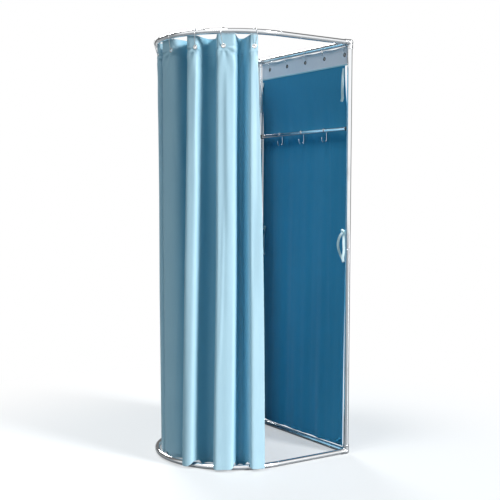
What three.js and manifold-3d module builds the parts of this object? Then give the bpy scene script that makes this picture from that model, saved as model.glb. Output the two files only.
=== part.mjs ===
// Portable fitting room: a free-standing tube frame with one flat side for the wall and one rounded end,
// a curtain drawn round it on rings, a back sheet on the wall side and a garment bar with three hooks.
// Millimetres, +Z up. The flat side faces +Y and the rounded front faces -Y.

import * as THREE from "three";
import { mergeVertices } from "three/addons/utils/BufferGeometryUtils.js";
import Module from "manifold-3d";

const wasm = await Module();
wasm.setup();

// Frame
const postSpacing = 755; // between the centres of the two posts
const sideStraight = 409; // straight run of a side rail, from the post to the start of the bend
const railSpacing = 1975; // between the centres of the base and top rails
const tubeRadius = 12.5;
const tubeSides = 16;
const bendSteps = 24;
const seatGap = 0.3; // left between pieces that touch
const cutOverrun = 5; // how far a cutting tool runs past what it cuts
const weldDistance = 1e-4; // points closer than this are one

// Cast corner fittings
const sleeveRadius = 14.5;
const sleeveReach = 32; // from the corner point to a sleeve's mouth
const socketFloor = 17; // from the corner point to where a tube's end stops
const cornerBallRadius = 15.5;
const ballSlices = 16;
const ballBands = 10;

// Garment bar
const barRadius = 9.5;
const barBelowRail = 407.5; // top rail's centre down to the bar's centre
const cupRadius = 12;
const cupDepth = 9; // from the post's surface to the cup's mouth
const cupFloor = 2;

// Garment hooks, bent from one wire in an S
const hookWireRadius = 2;
const hookCount = 3;
const hookBowlRadius = 15;
const hookDrop = 42; // bar's centre down to the bowl's centre
const hookTip = 10; // straight end of the bowl
const hookCurl = 30; // degrees that the loop runs on under the bar
const hookClearance = 2; // between the bar, a hook's loop and the sheet, together
const hookWireSides = 8;
const hookArcSteps = 8;

// Curtain: one wide cloth with a grommet at each ring
const curtainAngles = [19.5, 40.5, 61, 84, 108, 133, 158]; // rings on the bend, degrees from the open side
const drawnRings = 4; // rings that move with the leading part
const gatherRings = 3; // rings in the part that bunches up
const sideRingStart = 36; // end of the bend to the next ring
const sideRings = 3;
const tailRingGap = 69; // last ring to the post's centre
const clothThickness = 3;
const pleatFlat = 13; // half width of the flat crest that a ring holds
const pleatSteps = 10;
const pleatDepthTop = 85; // how far the valleys stand inward of the crests
const pleatDepthHem = 110;
const hemCrest = 38; // how far the crests hung outside stand outward of the rail at the hem
const outerCrests = 3; // crests hung outside the base rail; the others are tucked inside it
const hemTuck = 20; // how far inward of the rail the tucked crests hang at the hem
const topSag = 10; // droop of the top edge between rings
const hemLow = 10; // floor to the hem
const hemOverRail = 32; // floor to the hem where it passes over the base rail
const hemPass = 28; // half width of the band in which the hem passes over the rail
const headerFlat = 100; // height of the upright part that holds the grommets
const curtainRows = 4; // rows of panels below the upright part
const leadMargin = 17; // first ring to the leading edge
const leadFlare = 40; // how far the leading edge swings open at the hem
const tailMargin = 30; // last ring to the trailing edge

// Grommets and rings of the curtain
const grommetDrop = 65; // rail centre to the grommet's centre
const grommetHole = 5.5;
const grommetFlange = 10.5;
const curtainWireRadius = 1.5;
const curtainRingRadius = 22.5; // of the ring's top, to the middle of the wire
const curtainRingFoot = 8;

// Back sheet: a pale header band sewn to a long panel
const sheetLeft = 361; // from the middle of the booth to the header's edges
const sheetRight = 361;
const panelInsetLeft = 2; // how much the panel falls short of the header at its edges
const panelInsetRight = 19;
const headerHeight = 90;
const sheetThickness = 2.4;
const sheetHem = 36; // floor to the sheet's hem
const sheetRipple = 2;
const sheetRipples = 4;
const sheetHemLean = 6; // how far the hem hangs outside the rail's centre
const sheetRows = 6;
const headerColumns = 4;
const sheetColumns = 24;

// Eyelets and rings of the back sheet
const eyeletCount = 5;
const eyeletLeftMargin = 71; // header's edge to the first eyelet
const eyeletRightMargin = 21;
const eyeletDrop = 54;
const eyeletHole = 6.5;
const eyeletFlange = 10;
const sheetWireRadius = 1.2;
const sheetRingRadius = 18;
const sheetRingFoot = 7;

// Grommet washers and ring wires in common
const flangeThickness = 0.8;
const washerSides = 14;
const ringWireSides = 8;
const ringRailGap = 0.7; // a ring hangs this far off the rail's top, clear of its bend and its straight
const ringTopSteps = 8;
const ringFootSteps = 4;
const claspGap = 0.6;

// Ribbon ties at the sheet's edges
const tieWidth = 12;
const tieThickness = 1.2;
const tieSeat = 0.5; // between a tie's sewn end and the sheet
const tieClearance = 3; // between the rest of a tie and the sheet
const tieInset = 10; // sheet's edge to the middle of a tie
const topTieLength = 160;
const topTieDrop = 12; // below the header
const bowHeight = 1090; // floor to the bow's knot
const bowReach = 46;
const bowDrop = 160;
const cornerTieHeight = 62; // floor to the top of the corner tie
const cornerTieReach = 34;
const tieSteps = 8;
const tieLiftSteps = 2; // steps over which a tie lifts off the sheet, after its sewn first one

// Places that follow from the sizes
const halfWidth = postSpacing / 2;
const bendRadius = halfWidth;
const bendLength = Math.PI * bendRadius;
const baseZ = tubeRadius;
const topZ = baseZ + railSpacing;
const wallY = sideStraight;
const barHeight = topZ - barBelowRail;
const railUnderside = topZ - tubeRadius;

// Finishes
const chrome = { color: 0xd4d8dc, roughness: 0.16, metalness: 1 };
const cast = { color: 0xc2c6ca, roughness: 0.3, metalness: 1 };
const wire = { color: 0xcfd3d6, roughness: 0.2, metalness: 1 };
const nickel = { color: 0xd9dcde, roughness: 0.25, metalness: 1 };
const satin = { color: 0x9cc8dc, roughness: 0.45, metalness: 0 };
const tealCloth = { color: 0x2b6f93, roughness: 0.8, metalness: 0 };
const headerCloth = { color: 0xb4bccd, roughness: 0.8, metalness: 0 };
const ribbonCloth = { color: 0x9adcea, roughness: 0.5, metalness: 0 };
const cupPlastic = { color: 0x30343a, roughness: 0.5, metalness: 0 };

const at = (x, y, z) => new THREE.Vector3(x, y, z);
const up = at(0, 0, 1);

// A closed geometry as a solid. One that came out inside out has its triangles turned round.
function solidOf(geometry) {
  const bare = geometry.clone();
  bare.deleteAttribute("normal");
  bare.deleteAttribute("uv");
  const merged = mergeVertices(bare, weldDistance);
  const triVerts = new Uint32Array(merged.index.array);
  const vertProperties = merged.attributes.position.array;
  const made = new wasm.Manifold(new wasm.Mesh({ numProp: 3, vertProperties, triVerts }));
  if (made.volume() > 0) return made;
  for (let i = 0; i < triVerts.length; i += 3) triVerts.subarray(i + 1, i + 3).reverse();
  return new wasm.Manifold(new wasm.Mesh({ numProp: 3, vertProperties, triVerts }));
}

// A solid as a named mesh with its finish.
function piece(name, solid, finish) {
  const { vertProperties, triVerts } = solid.getMesh();
  const geometry = new THREE.BufferGeometry();
  geometry.setAttribute("position", new THREE.BufferAttribute(vertProperties, 3));
  geometry.setIndex(new THREE.BufferAttribute(triVerts, 1));
  geometry.computeVertexNormals();
  const mesh = new THREE.Mesh(geometry, new THREE.MeshStandardMaterial(finish));
  mesh.name = name;
  return mesh;
}

// A path through given points, at which a swept section stands on the bisector of its two runs.
class PointPath extends THREE.Curve {
  constructor(points) {
    super();
    this.points = points;
  }

  getPoint(t) {
    const place = t * (this.points.length - 1);
    const i = Math.min(Math.floor(place), this.points.length - 2);
    return this.points[i].clone().lerp(this.points[i + 1], place - i);
  }

  getPointAt(u) {
    return this.getPoint(u);
  }

  getTangentAt(u) {
    const i = Math.round(u * (this.points.length - 1));
    const here = this.points[i];
    const along = at(0, 0, 0);
    if (i > 0) along.add(here.clone().sub(this.points[i - 1]).normalize());
    if (i < this.points.length - 1) along.add(this.points[i + 1].clone().sub(here).normalize());
    return along.normalize();
  }
}

// A round section as a polygon whose flats lie at the radius.
function roundSection(radius, sides) {
  const corner = radius / Math.cos(Math.PI / sides);
  const points = [];
  for (let i = 0; i < sides; i++) {
    const turn = ((i + 1 / 2) * 2 * Math.PI) / sides;
    points.push(new THREE.Vector2(corner * Math.cos(turn), corner * Math.sin(turn)));
  }
  return new THREE.Shape(points);
}

// A rod or tube outline swept through points.
function rod(points, radius, sides = tubeSides) {
  const settings = { steps: points.length - 1, bevelEnabled: false, extrudePath: new PointPath(points) };
  return solidOf(new THREE.ExtrudeGeometry(roundSection(radius, sides), settings));
}

// A point on the rail at a distance along it, with the direction out of the booth.
// Zero is where the bend starts on the open side, and the distance grows towards the covered side.
function railPlace(distance) {
  if (distance > bendLength) {
    return { point: at(-bendRadius, distance - bendLength, 0), out: at(-1, 0, 0) };
  }
  const turn = Math.max(distance, 0) / bendRadius;
  const out = at(Math.cos(turn), -Math.sin(turn), 0);
  return { point: out.clone().multiplyScalar(bendRadius).add(at(0, Math.max(-distance, 0), 0)), out };
}

const booth = new THREE.Group();

// Base and top rails, each one tube bent into a U.
function bentRail(name, height) {
  const end = wallY - socketFloor - seatGap;
  const points = [at(halfWidth, end, height)];
  for (let i = 0; i <= bendSteps; i++) {
    points.push(railPlace((i / bendSteps) * bendLength).point.setZ(height));
  }
  points.push(at(-halfWidth, end, height));
  return piece(name, rod(points, tubeRadius), chrome);
}

booth.add(bentRail("base_rail", baseZ), bentRail("top_rail", topZ));

// Wall rails, which close the U on the flat side.
function wallRail(name, height) {
  const end = halfWidth - socketFloor - seatGap;
  return piece(name, rod([at(-end, wallY, height), at(end, wallY, height)], tubeRadius), chrome);
}

booth.add(wallRail("base_wall_rail", baseZ), wallRail("top_wall_rail", topZ));

// Posts, one at each end of the wall rails.
function post(name, side) {
  const end = socketFloor + seatGap;
  const points = [at(side * halfWidth, wallY, baseZ + end), at(side * halfWidth, wallY, topZ - end)];
  return piece(name, rod(points, tubeRadius), chrome);
}

const sides = { left: -1, right: 1 };
for (const [side, sign] of Object.entries(sides)) booth.add(post(`${side}_post`, sign));

// Corner fittings: a cast ball with a sleeve for the post, one for the side rail and one for the wall rail.
function cornerFitting(name, side, height, rise) {
  const corner = at(side * halfWidth, wallY, height);
  const arms = [at(0, 0, rise), at(0, -1, 0), at(-side, 0, 0)];
  const ball = new THREE.SphereGeometry(cornerBallRadius, ballSlices, ballBands);
  ball.rotateX(Math.PI / 2);
  ball.translate(corner.x, corner.y, corner.z);
  const along = (arm, reach) => corner.clone().addScaledVector(arm, reach);
  let solid = solidOf(ball);
  for (const arm of arms) solid = solid.add(rod([corner, along(arm, sleeveReach)], sleeveRadius));
  for (const arm of arms) {
    const socket = [along(arm, socketFloor), along(arm, sleeveReach + cutOverrun)];
    solid = solid.subtract(rod(socket, tubeRadius + seatGap));
  }
  const slab = new THREE.BoxGeometry(4 * sleeveReach, 4 * sleeveReach, cornerBallRadius);
  slab.translate(corner.x, corner.y, -cornerBallRadius / 2);
  return piece(name, solid.subtract(solidOf(slab)), cast);
}

for (const [side, sign] of Object.entries(sides)) {
  booth.add(cornerFitting(`base_corner_${side}`, sign, baseZ, 1));
  booth.add(cornerFitting(`top_corner_${side}`, sign, topZ, -1));
}

// Garment bar, in a cup at each post.
const cupMouth = halfWidth - tubeRadius - cupDepth;
const barEnd = halfWidth - tubeRadius - seatGap - cupFloor - seatGap;

function barCup(name, side) {
  const reach = (distance) => at(side * distance, wallY, barHeight);
  const tube = [at(side * halfWidth, wallY, baseZ), at(side * halfWidth, wallY, topZ)];
  const solid = rod([reach(cupMouth), reach(halfWidth - tubeRadius / 2)], cupRadius)
    .subtract(rod(tube, tubeRadius + seatGap))
    .subtract(rod([reach(cupMouth - cutOverrun), reach(barEnd + seatGap)], barRadius + seatGap));
  return piece(name, solid, cupPlastic);
}

for (const [side, sign] of Object.entries(sides)) booth.add(barCup(`bar_cup_${side}`, sign));
booth.add(
  piece("garment_bar", rod([at(-barEnd, wallY, barHeight), at(barEnd, wallY, barHeight)], barRadius), chrome),
);

// Points about an arc in the plane of two directions, set so that the chords between them touch it.
function arcPoints(centre, across, upward, radius, from, to, steps) {
  const step = THREE.MathUtils.degToRad((to - from) / steps);
  const reach = radius / Math.cos(step / 2);
  const points = [];
  for (let i = 0; i <= steps; i++) {
    const turn = THREE.MathUtils.degToRad(from) + step * i;
    const point = centre.clone().addScaledVector(across, reach * Math.cos(turn));
    points.push(point.addScaledVector(upward, reach * Math.sin(turn)));
  }
  return points;
}

// Garment hooks: a loop over the bar, a shank behind it and a bowl that opens into the room.
function garmentHook(name, x) {
  const loopRadius = barRadius + seatGap + hookWireRadius;
  const room = at(0, -1, 0);
  const loopCentre = at(x, wallY, barHeight);
  const bowlCentre = at(x, wallY + loopRadius - hookBowlRadius, barHeight - hookDrop);
  const loop = arcPoints(loopCentre, room, up, loopRadius, -hookCurl, 180, hookArcSteps + 2);
  const bowl = arcPoints(bowlCentre, room, up, hookBowlRadius, -180, 0, hookArcSteps);
  const tip = bowl[bowl.length - 1].clone().addScaledVector(up, hookTip);
  return piece(name, rod([...loop, ...bowl, tip], hookWireRadius, hookWireSides), wire);
}

for (let i = 0; i < hookCount; i++) {
  const x = -halfWidth + (postSpacing * (i + 1)) / (hookCount + 1);
  booth.add(garmentHook(`garment_hook_${i + 1}`, x));
}

// A ring of bent wire: a wide top round the top rail, straight flanks and a narrow foot through a grommet.
// It starts and ends in its clasp, halfway down one flank.
function wireRing(name, place, wireRadius, topRadius, footRadius, footDrop) {
  const across = place.out;
  const topCentre = place.point.clone().setZ(topZ + tubeRadius + ringRailGap + wireRadius - topRadius);
  const footCentre = place.point.clone().setZ(topZ - footDrop + footRadius);
  const lean = THREE.MathUtils.radToDeg(Math.asin((topRadius - footRadius) / (topCentre.z - footCentre.z)));
  const top = arcPoints(topCentre, across, up, topRadius, 180 + lean, -lean, ringTopSteps);
  const foot = arcPoints(footCentre, across, up, footRadius, -lean, lean - 180, ringFootSteps);
  const flankEnd = foot[foot.length - 1];
  const clasp = flankEnd.clone().lerp(top[0], 1 / 2);
  const step = top[0].clone().sub(flankEnd).setLength(claspGap / 2);
  const points = [clasp.clone().add(step), ...top, ...foot, clasp.clone().sub(step)];
  return piece(name, rod(points, wireRadius, ringWireSides), wire);
}

// A two-part grommet pressed through cloth: a barrel between two flanges, turned about its own axis.
function grommet(name, place, height, hole, flange, cloth) {
  const inner = cloth / 2 + seatGap;
  const outer = inner + flangeThickness;
  const barrel = hole + flangeThickness;
  const profile = [
    new THREE.Vector2(hole, -outer),
    new THREE.Vector2(flange, -outer),
    new THREE.Vector2(flange, -inner),
    new THREE.Vector2(barrel, -inner),
    new THREE.Vector2(barrel, inner),
    new THREE.Vector2(flange, inner),
    new THREE.Vector2(flange, outer),
    new THREE.Vector2(hole, outer),
    new THREE.Vector2(hole, -outer),
  ];
  const turned = new THREE.LatheGeometry(profile, washerSides);
  turned.applyQuaternion(new THREE.Quaternion().setFromUnitVectors(at(0, 1, 0), place.out));
  turned.translate(place.point.x, place.point.y, height);
  return piece(name, solidOf(turned), nickel);
}

// How far below the rail's centre a ring's foot lies, so that its curve hangs clear inside the grommet.
function footBelow(drop, hole, cloth, wireRadius, footRadius) {
  const barrelHalf = cloth / 2 + seatGap + flangeThickness;
  const rise = footRadius - Math.sqrt(footRadius ** 2 - barrelHalf ** 2);
  const holeFlat = hole * Math.cos(Math.PI / washerSides);
  const wireCorner = wireRadius / Math.cos(Math.PI / ringWireSides);
  return drop - holeFlat + seatGap + wireCorner + rise;
}

// A hole through hanging cloth for a grommet's barrel.
function grommetHoleTool(place, height, hole, cloth) {
  const reach = place.out.clone().multiplyScalar(cloth / 2 + cutOverrun);
  const centre = place.point.clone().setZ(height);
  const radius = hole + flangeThickness + seatGap;
  return rod([centre.clone().sub(reach), centre.clone().add(reach)], radius, washerSides);
}

// A cloth from a grid of points: rows of them run across it, from its top edge down.
// The grid is given half the thickness to each side, square to its plan. The first and last point
// of a row lie past the cloth's edges and only give the direction there.
function clothSolid(rows, thickness) {
  const faces = rows.map((row) =>
    row.slice(1, -1).map((point, i) => {
      const run = row[i + 2].clone().sub(row[i]);
      const across = at(run.y, -run.x, 0).setLength(thickness / 2);
      return [point.clone().add(across), point.clone().sub(across)];
    }),
  );
  const last = faces[0].length - 1;
  const corners = [];
  const quad = (a, b, c, d) => corners.push(a, b, c, a, c, d);
  for (let j = 0; j + 1 < faces.length; j++) {
    for (let i = 0; i < last; i++) {
      const [a, b, c, d] = [faces[j][i], faces[j + 1][i], faces[j + 1][i + 1], faces[j][i + 1]];
      quad(a[0], b[0], c[0], d[0]);
      quad(d[1], c[1], b[1], a[1]);
    }
    for (const [i, side] of [[0, 0], [last, 1]]) {
      const [a, b] = [faces[j][i], faces[j + 1][i]];
      quad(a[side], a[1 - side], b[1 - side], b[side]);
    }
  }
  for (const [j, side] of [[0, 1], [faces.length - 1, 0]]) {
    for (let i = 0; i < last; i++) {
      const [a, b] = [faces[j][i], faces[j][i + 1]];
      quad(a[side], a[1 - side], b[1 - side], b[side]);
    }
  }
  return solidOf(new THREE.BufferGeometry().setFromPoints(corners));
}

// 0 up to a share of 0, 1 from a share of 1 on, and a soft step between.
function ease(share) {
  const held = THREE.MathUtils.clamp(share, 0, 1);
  return held * held * (3 - 2 * held);
}

// Curtain rings along the rail: those on the bend, then those on the covered side.
const ringDistances = curtainAngles.map((angle) => THREE.MathUtils.degToRad(angle) * bendRadius);
const sideRingPitch = (sideStraight - sideRingStart - tailRingGap) / (sideRings - 1);
for (let i = 0; i < sideRings; i++) ringDistances.push(bendLength + sideRingStart + i * sideRingPitch);

// How deep in its valley the cloth is at a distance along the rail: 0 on a crest, 1 at the bottom.
function valleyShare(distance) {
  const next = ringDistances.findIndex((ring) => ring - pleatFlat > distance);
  if (next < 1 || distance < ringDistances[next - 1] + pleatFlat) return 0;
  const from = ringDistances[next - 1] + pleatFlat;
  const width = ringDistances[next] - pleatFlat - from;
  return (1 - Math.cos((2 * Math.PI * (distance - from)) / width)) / 2;
}

// How far outward of the rail a crest at a distance along it hangs at the hem.
function crestReach(distance) {
  const [last, first] = [ringDistances[outerCrests - 1], ringDistances[outerCrests]];
  return THREE.MathUtils.lerp(hemCrest, -hemTuck, ease((distance - last) / (first - last)));
}

// A point of the curtain at a distance along the rail. The drop runs from 0 at the foot of its
// upright part to 1 at the hem, and the flare from 0 to 1 at the leading edge.
function curtainPoint(distance, drop, flare) {
  const place = railPlace(distance - leadFlare * drop * flare);
  const valley = valleyShare(distance);
  const depth = THREE.MathUtils.lerp(pleatDepthTop, pleatDepthHem, drop);
  const offset = crestReach(distance) * drop - depth * valley;
  const crossing = distance < ringDistances[outerCrests] - pleatFlat && Math.abs(offset) < hemPass;
  const hem = crossing ? hemOverRail : hemLow;
  const upright = railUnderside - headerFlat;
  return place.point.addScaledVector(place.out, offset).setZ(THREE.MathUtils.lerp(upright, hem, drop));
}

// The distances at which a stretch of curtain is creased, from one end of it to the other,
// with one more past each end.
function curtainColumns(from, to) {
  const columns = [from, to];
  ringDistances.forEach((ring, i) => {
    const start = ring + pleatFlat;
    const end = i + 1 < ringDistances.length ? ringDistances[i + 1] - pleatFlat : start;
    columns.push(ring - pleatFlat, start);
    for (let k = 1; k < pleatSteps; k++) columns.push(start + ((end - start) * k) / pleatSteps);
  });
  const within = columns.filter((place) => place >= from && place <= to).sort((a, b) => a - b);
  const kept = within.filter((place, i) => i === 0 || place - within[i - 1] > seatGap);
  return [2 * kept[0] - kept[1], ...kept, 2 * kept[kept.length - 1] - kept[kept.length - 2]];
}

// A stretch of the curtain with the holes of its own grommets.
function curtainPanel(name, from, to, rings) {
  const columns = curtainColumns(from, to);
  const flareEnd = ringDistances[0] + pleatFlat;
  const flare = (distance) => Math.min(Math.max((flareEnd - distance) / (flareEnd - leadEdge), 0), 1);
  const crease = (distance) => {
    const top = curtainPoint(distance, 0, 0);
    return top.setZ(railUnderside - seatGap - topSag * valleyShare(distance));
  };
  const rows = [columns.map(crease)];
  for (let j = 0; j <= curtainRows; j++) {
    rows.push(columns.map((distance) => curtainPoint(distance, j / curtainRows, flare(distance))));
  }
  let solid = clothSolid(rows, clothThickness);
  for (const ring of rings) {
    const tool = grommetHoleTool(railPlace(ring), topZ - grommetDrop, grommetHole, clothThickness);
    solid = solid.subtract(tool);
  }
  return piece(name, solid, satin);
}

const leadEdge = ringDistances[0] - leadMargin;
const tailEdge = ringDistances[ringDistances.length - 1] + tailMargin;
const gatherStart = (ringDistances[drawnRings - 1] + ringDistances[drawnRings]) / 2;
const sideStart = (ringDistances[drawnRings + gatherRings - 1] + ringDistances[drawnRings + gatherRings]) / 2;
const drawn = ringDistances.slice(0, drawnRings);
const gathered = ringDistances.slice(drawnRings, drawnRings + gatherRings);
const fixed = ringDistances.slice(drawnRings + gatherRings);

booth.add(
  curtainPanel("curtain_lead", leadEdge, gatherStart - seatGap, drawn),
  curtainPanel("curtain_gather", gatherStart, sideStart - seatGap, gathered),
  curtainPanel("curtain_side", sideStart, tailEdge, fixed),
);

ringDistances.forEach((distance, i) => {
  const place = railPlace(distance);
  const height = topZ - grommetDrop;
  const foot = footBelow(grommetDrop, grommetHole, clothThickness, curtainWireRadius, curtainRingFoot);
  booth.add(
    wireRing(`curtain_ring_${i + 1}`, place, curtainWireRadius, curtainRingRadius, curtainRingFoot, foot),
    grommet(`curtain_grommet_${i + 1}`, place, height, grommetHole, grommetFlange, clothThickness),
  );
});

// Back sheet. It hangs plumb through its header, passes outside the garment bar and comes back in to the hem.
const sheetTop = topZ - sleeveRadius - seatGap;
const headerBottom = sheetTop - headerHeight;
const barLean = barRadius + 2 * hookWireRadius + hookClearance + sheetRipple + sheetThickness / 2;

function sheetPoint(x, z) {
  const drop = Math.max(headerBottom - z, 0);
  const barDrop = headerBottom - barHeight;
  const passed = Math.min(drop / barDrop, 1);
  const below = Math.max(drop - barDrop, 0) / (barHeight - sheetHem);
  const lean = barLean * ease(passed) + (sheetHemLean - barLean) * ease(below);
  const ripple = sheetRipple * ease(passed) * Math.sin((2 * Math.PI * sheetRipples * x) / postSpacing);
  return at(x, wallY + lean + ripple, z);
}

function sheetPanel(name, left, right, heights, columns, finish, holes) {
  const rows = heights.map((z) => {
    const row = [];
    for (let i = -1; i <= columns + 1; i++) {
      row.push(sheetPoint(THREE.MathUtils.lerp(-left, right, i / columns), z));
    }
    return row;
  });
  let solid = clothSolid(rows, sheetThickness);
  for (const x of holes) {
    const place = { point: at(x, wallY, 0), out: at(0, 1, 0) };
    solid = solid.subtract(grommetHoleTool(place, topZ - eyeletDrop, eyeletHole, sheetThickness));
  }
  return piece(name, solid, finish);
}

const eyeletFirst = eyeletLeftMargin - sheetLeft;
const eyeletPitch = (sheetRight - eyeletRightMargin - eyeletFirst) / (eyeletCount - 1);
const eyelets = Array.from({ length: eyeletCount }, (_, i) => eyeletFirst + i * eyeletPitch);
const panelTop = headerBottom - seatGap;
const panelLeft = sheetLeft - panelInsetLeft;
const panelRight = sheetRight - panelInsetRight;
const headerHeights = [sheetTop, headerBottom];
const panelHeights = [panelTop, (panelTop + barHeight) / 2];
for (let j = 0; j <= sheetRows; j++) {
  panelHeights.push(THREE.MathUtils.lerp(barHeight, sheetHem, j / sheetRows));
}
booth.add(
  sheetPanel("sheet_header", sheetLeft, sheetRight, headerHeights, headerColumns, headerCloth, eyelets),
  sheetPanel("back_sheet", panelLeft, panelRight, panelHeights, sheetColumns, tealCloth, []),
);

eyelets.forEach((x, i) => {
  const place = { point: at(x, wallY, 0), out: at(0, 1, 0) };
  const height = topZ - eyeletDrop;
  const foot = footBelow(eyeletDrop, eyeletHole, sheetThickness, sheetWireRadius, sheetRingFoot);
  booth.add(
    wireRing(`sheet_ring_${i + 1}`, place, sheetWireRadius, sheetRingRadius, sheetRingFoot, foot),
    grommet(`sheet_eyelet_${i + 1}`, place, height, eyeletHole, eyeletFlange, sheetThickness),
  );
});

// A ribbon: a flat strip that runs through points in a plane square to the wall side.
function ribbon(name, points) {
  const section = new THREE.Shape([
    new THREE.Vector2(-tieWidth / 2, -tieThickness / 2),
    new THREE.Vector2(tieWidth / 2, -tieThickness / 2),
    new THREE.Vector2(tieWidth / 2, tieThickness / 2),
    new THREE.Vector2(-tieWidth / 2, tieThickness / 2),
  ]);
  const settings = { steps: points.length - 1, bevelEnabled: false, extrudePath: new PointPath(points) };
  return piece(name, solidOf(new THREE.ExtrudeGeometry(section, settings)), ribbonCloth);
}

// A point of the panel as it is made, flat between its rows.
function panelPoint(x, z) {
  const next = Math.max(panelHeights.findIndex((height) => height <= z), 1);
  const [above, below] = [panelHeights[next - 1], panelHeights[next]];
  return sheetPoint(x, above).lerp(sheetPoint(x, below), (above - z) / (above - below));
}

// Ribbon ties sewn to the room side of the sheet at their upper ends: a loose end, an open bow
// and a short turned-up end.
function ties(side, sign, edge) {
  const x = sign * (edge - tieInset);
  const seat = sheetThickness / 2 + tieThickness / 2;
  const sweep = (top, drop, reach) => {
    const points = [];
    for (let i = 0; i <= tieSteps; i++) {
      const share = i / tieSteps;
      const lift = Math.min(Math.max((i - 1) / tieLiftSteps, 0), 1);
      const bow = i > 1 ? reach * Math.sin(Math.PI * share) ** 2 : 0;
      const stand = seat + THREE.MathUtils.lerp(tieSeat, tieClearance, lift) + bow;
      points.push(panelPoint(x, top - drop * share).add(at(0, -stand, 0)));
    }
    return points;
  };
  booth.add(
    ribbon(`top_tie_${side}`, sweep(headerBottom - topTieDrop, topTieLength, 0)),
    ribbon(`bow_tie_${side}`, sweep(bowHeight, bowDrop, bowReach)),
    ribbon(`corner_tie_${side}`, sweep(cornerTieHeight, cornerTieReach / 2, cornerTieReach / 2)),
  );
}

ties("left", sides.left, panelLeft);
ties("right", sides.right, panelRight);

// The origin is the floor point under the middle of the outer box.
const box = new THREE.Box3().setFromObject(booth, true);
const middle = box.getCenter(at(0, 0, 0));
booth.position.set(-middle.x, -middle.y, 0);

export default booth;
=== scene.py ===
import math
import bmesh
import bpy
import numpy as np
from mathutils import Matrix, Vector


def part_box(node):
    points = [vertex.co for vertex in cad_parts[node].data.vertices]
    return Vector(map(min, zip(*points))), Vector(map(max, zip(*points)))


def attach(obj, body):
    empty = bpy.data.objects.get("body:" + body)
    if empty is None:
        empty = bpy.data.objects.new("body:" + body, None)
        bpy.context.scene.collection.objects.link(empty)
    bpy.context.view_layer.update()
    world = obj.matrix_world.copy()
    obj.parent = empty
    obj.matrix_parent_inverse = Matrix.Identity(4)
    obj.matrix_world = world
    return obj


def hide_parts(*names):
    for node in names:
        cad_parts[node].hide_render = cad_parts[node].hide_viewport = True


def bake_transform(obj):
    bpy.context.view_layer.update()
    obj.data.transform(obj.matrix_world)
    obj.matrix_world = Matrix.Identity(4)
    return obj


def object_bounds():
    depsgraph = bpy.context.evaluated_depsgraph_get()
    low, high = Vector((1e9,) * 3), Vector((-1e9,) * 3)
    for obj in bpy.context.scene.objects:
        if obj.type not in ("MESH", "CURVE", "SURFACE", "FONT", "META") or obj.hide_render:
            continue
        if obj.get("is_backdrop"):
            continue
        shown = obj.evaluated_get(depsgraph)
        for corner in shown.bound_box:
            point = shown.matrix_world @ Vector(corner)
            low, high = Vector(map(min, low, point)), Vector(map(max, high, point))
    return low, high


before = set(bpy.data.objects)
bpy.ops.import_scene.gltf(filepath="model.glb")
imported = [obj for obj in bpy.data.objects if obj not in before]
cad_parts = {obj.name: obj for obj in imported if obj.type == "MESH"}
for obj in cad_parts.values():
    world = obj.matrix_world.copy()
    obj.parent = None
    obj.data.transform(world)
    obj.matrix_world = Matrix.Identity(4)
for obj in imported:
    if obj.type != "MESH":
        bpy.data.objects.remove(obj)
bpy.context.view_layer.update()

# Camera: stands off the open side, a little towards the rounded end and at chest height, and looks
# slightly down at the curtain, with the open side and the back sheet beside it.
CAMERA_PLACE = (3.8121, -2.4586, 1.2365)
CAMERA_TURN = 56.4      # degrees round from looking along +Y
CAMERA_DIP = 3.13       # degrees below the level
CAMERA_ROLL = 0.26
CAMERA_LENS = 66.3      # millimetres

camera = bpy.data.objects.new("camera", bpy.data.cameras.new("camera"))
camera.data.lens = CAMERA_LENS
camera.matrix_world = (
    Matrix.Translation(CAMERA_PLACE)
    @ Matrix.Rotation(math.radians(CAMERA_TURN), 4, "Z")
    @ Matrix.Rotation(math.radians(90 - CAMERA_DIP), 4, "X")
    @ Matrix.Rotation(math.radians(CAMERA_ROLL), 4, "Z")
)
bpy.context.scene.collection.objects.link(camera)
bpy.context.scene.camera = camera
bpy.context.scene.view_settings.view_transform = "Standard"

# Tubes: the base and top rails, each of steel tube bent into a U, the straight wall rails and the two
# posts. They are cold drawn, bent, polished and chrome plated, and swaged where lengths join.
RAIL_SIDES = 40
RAIL_STEPS = 96         # along the bend
TUBE_SHARP = 25         # degrees of turn from which an edge looks sharp
SWAGE_DEPTH = 0.035     # share of the radius that the ring rolled in at a joint goes down
SWAGE_HALF = 0.0012
CHROME = (0.83, 0.845, 0.86, 1)
CHROME_DULL = (0.66, 0.68, 0.70, 1)
CHROME_ROUGH = 0.06, 0.17       # where it is polished, and where it is smeared
SMEARS = 7              # per metre, left by hands
SMEAR_FROM, SMEAR_TO = 0.42, 0.74
SMEAR_SHARE = 0.6       # of the dull colour, in a full smear
DRAWN_LINES = 260       # per metre across the metal
DRAWN_STRETCH = (1, 1, 0.03)
DRAWN_DEPTH = 0.00004
DRAWN_ROUGH = 0.03
FIRST_COLOUR, SECOND_COLOUR, MIXED_COLOUR = 6, 7, 2     # sockets of a Mix node, which share their names


def operator(operation):
    """The plain and the reflected form of an arithmetic operator on wires."""
    def plain(self, other):
        return self.math(operation, self, other)

    def reflected(self, other):
        return self.math(operation, other, self)

    return plain, reflected


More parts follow.
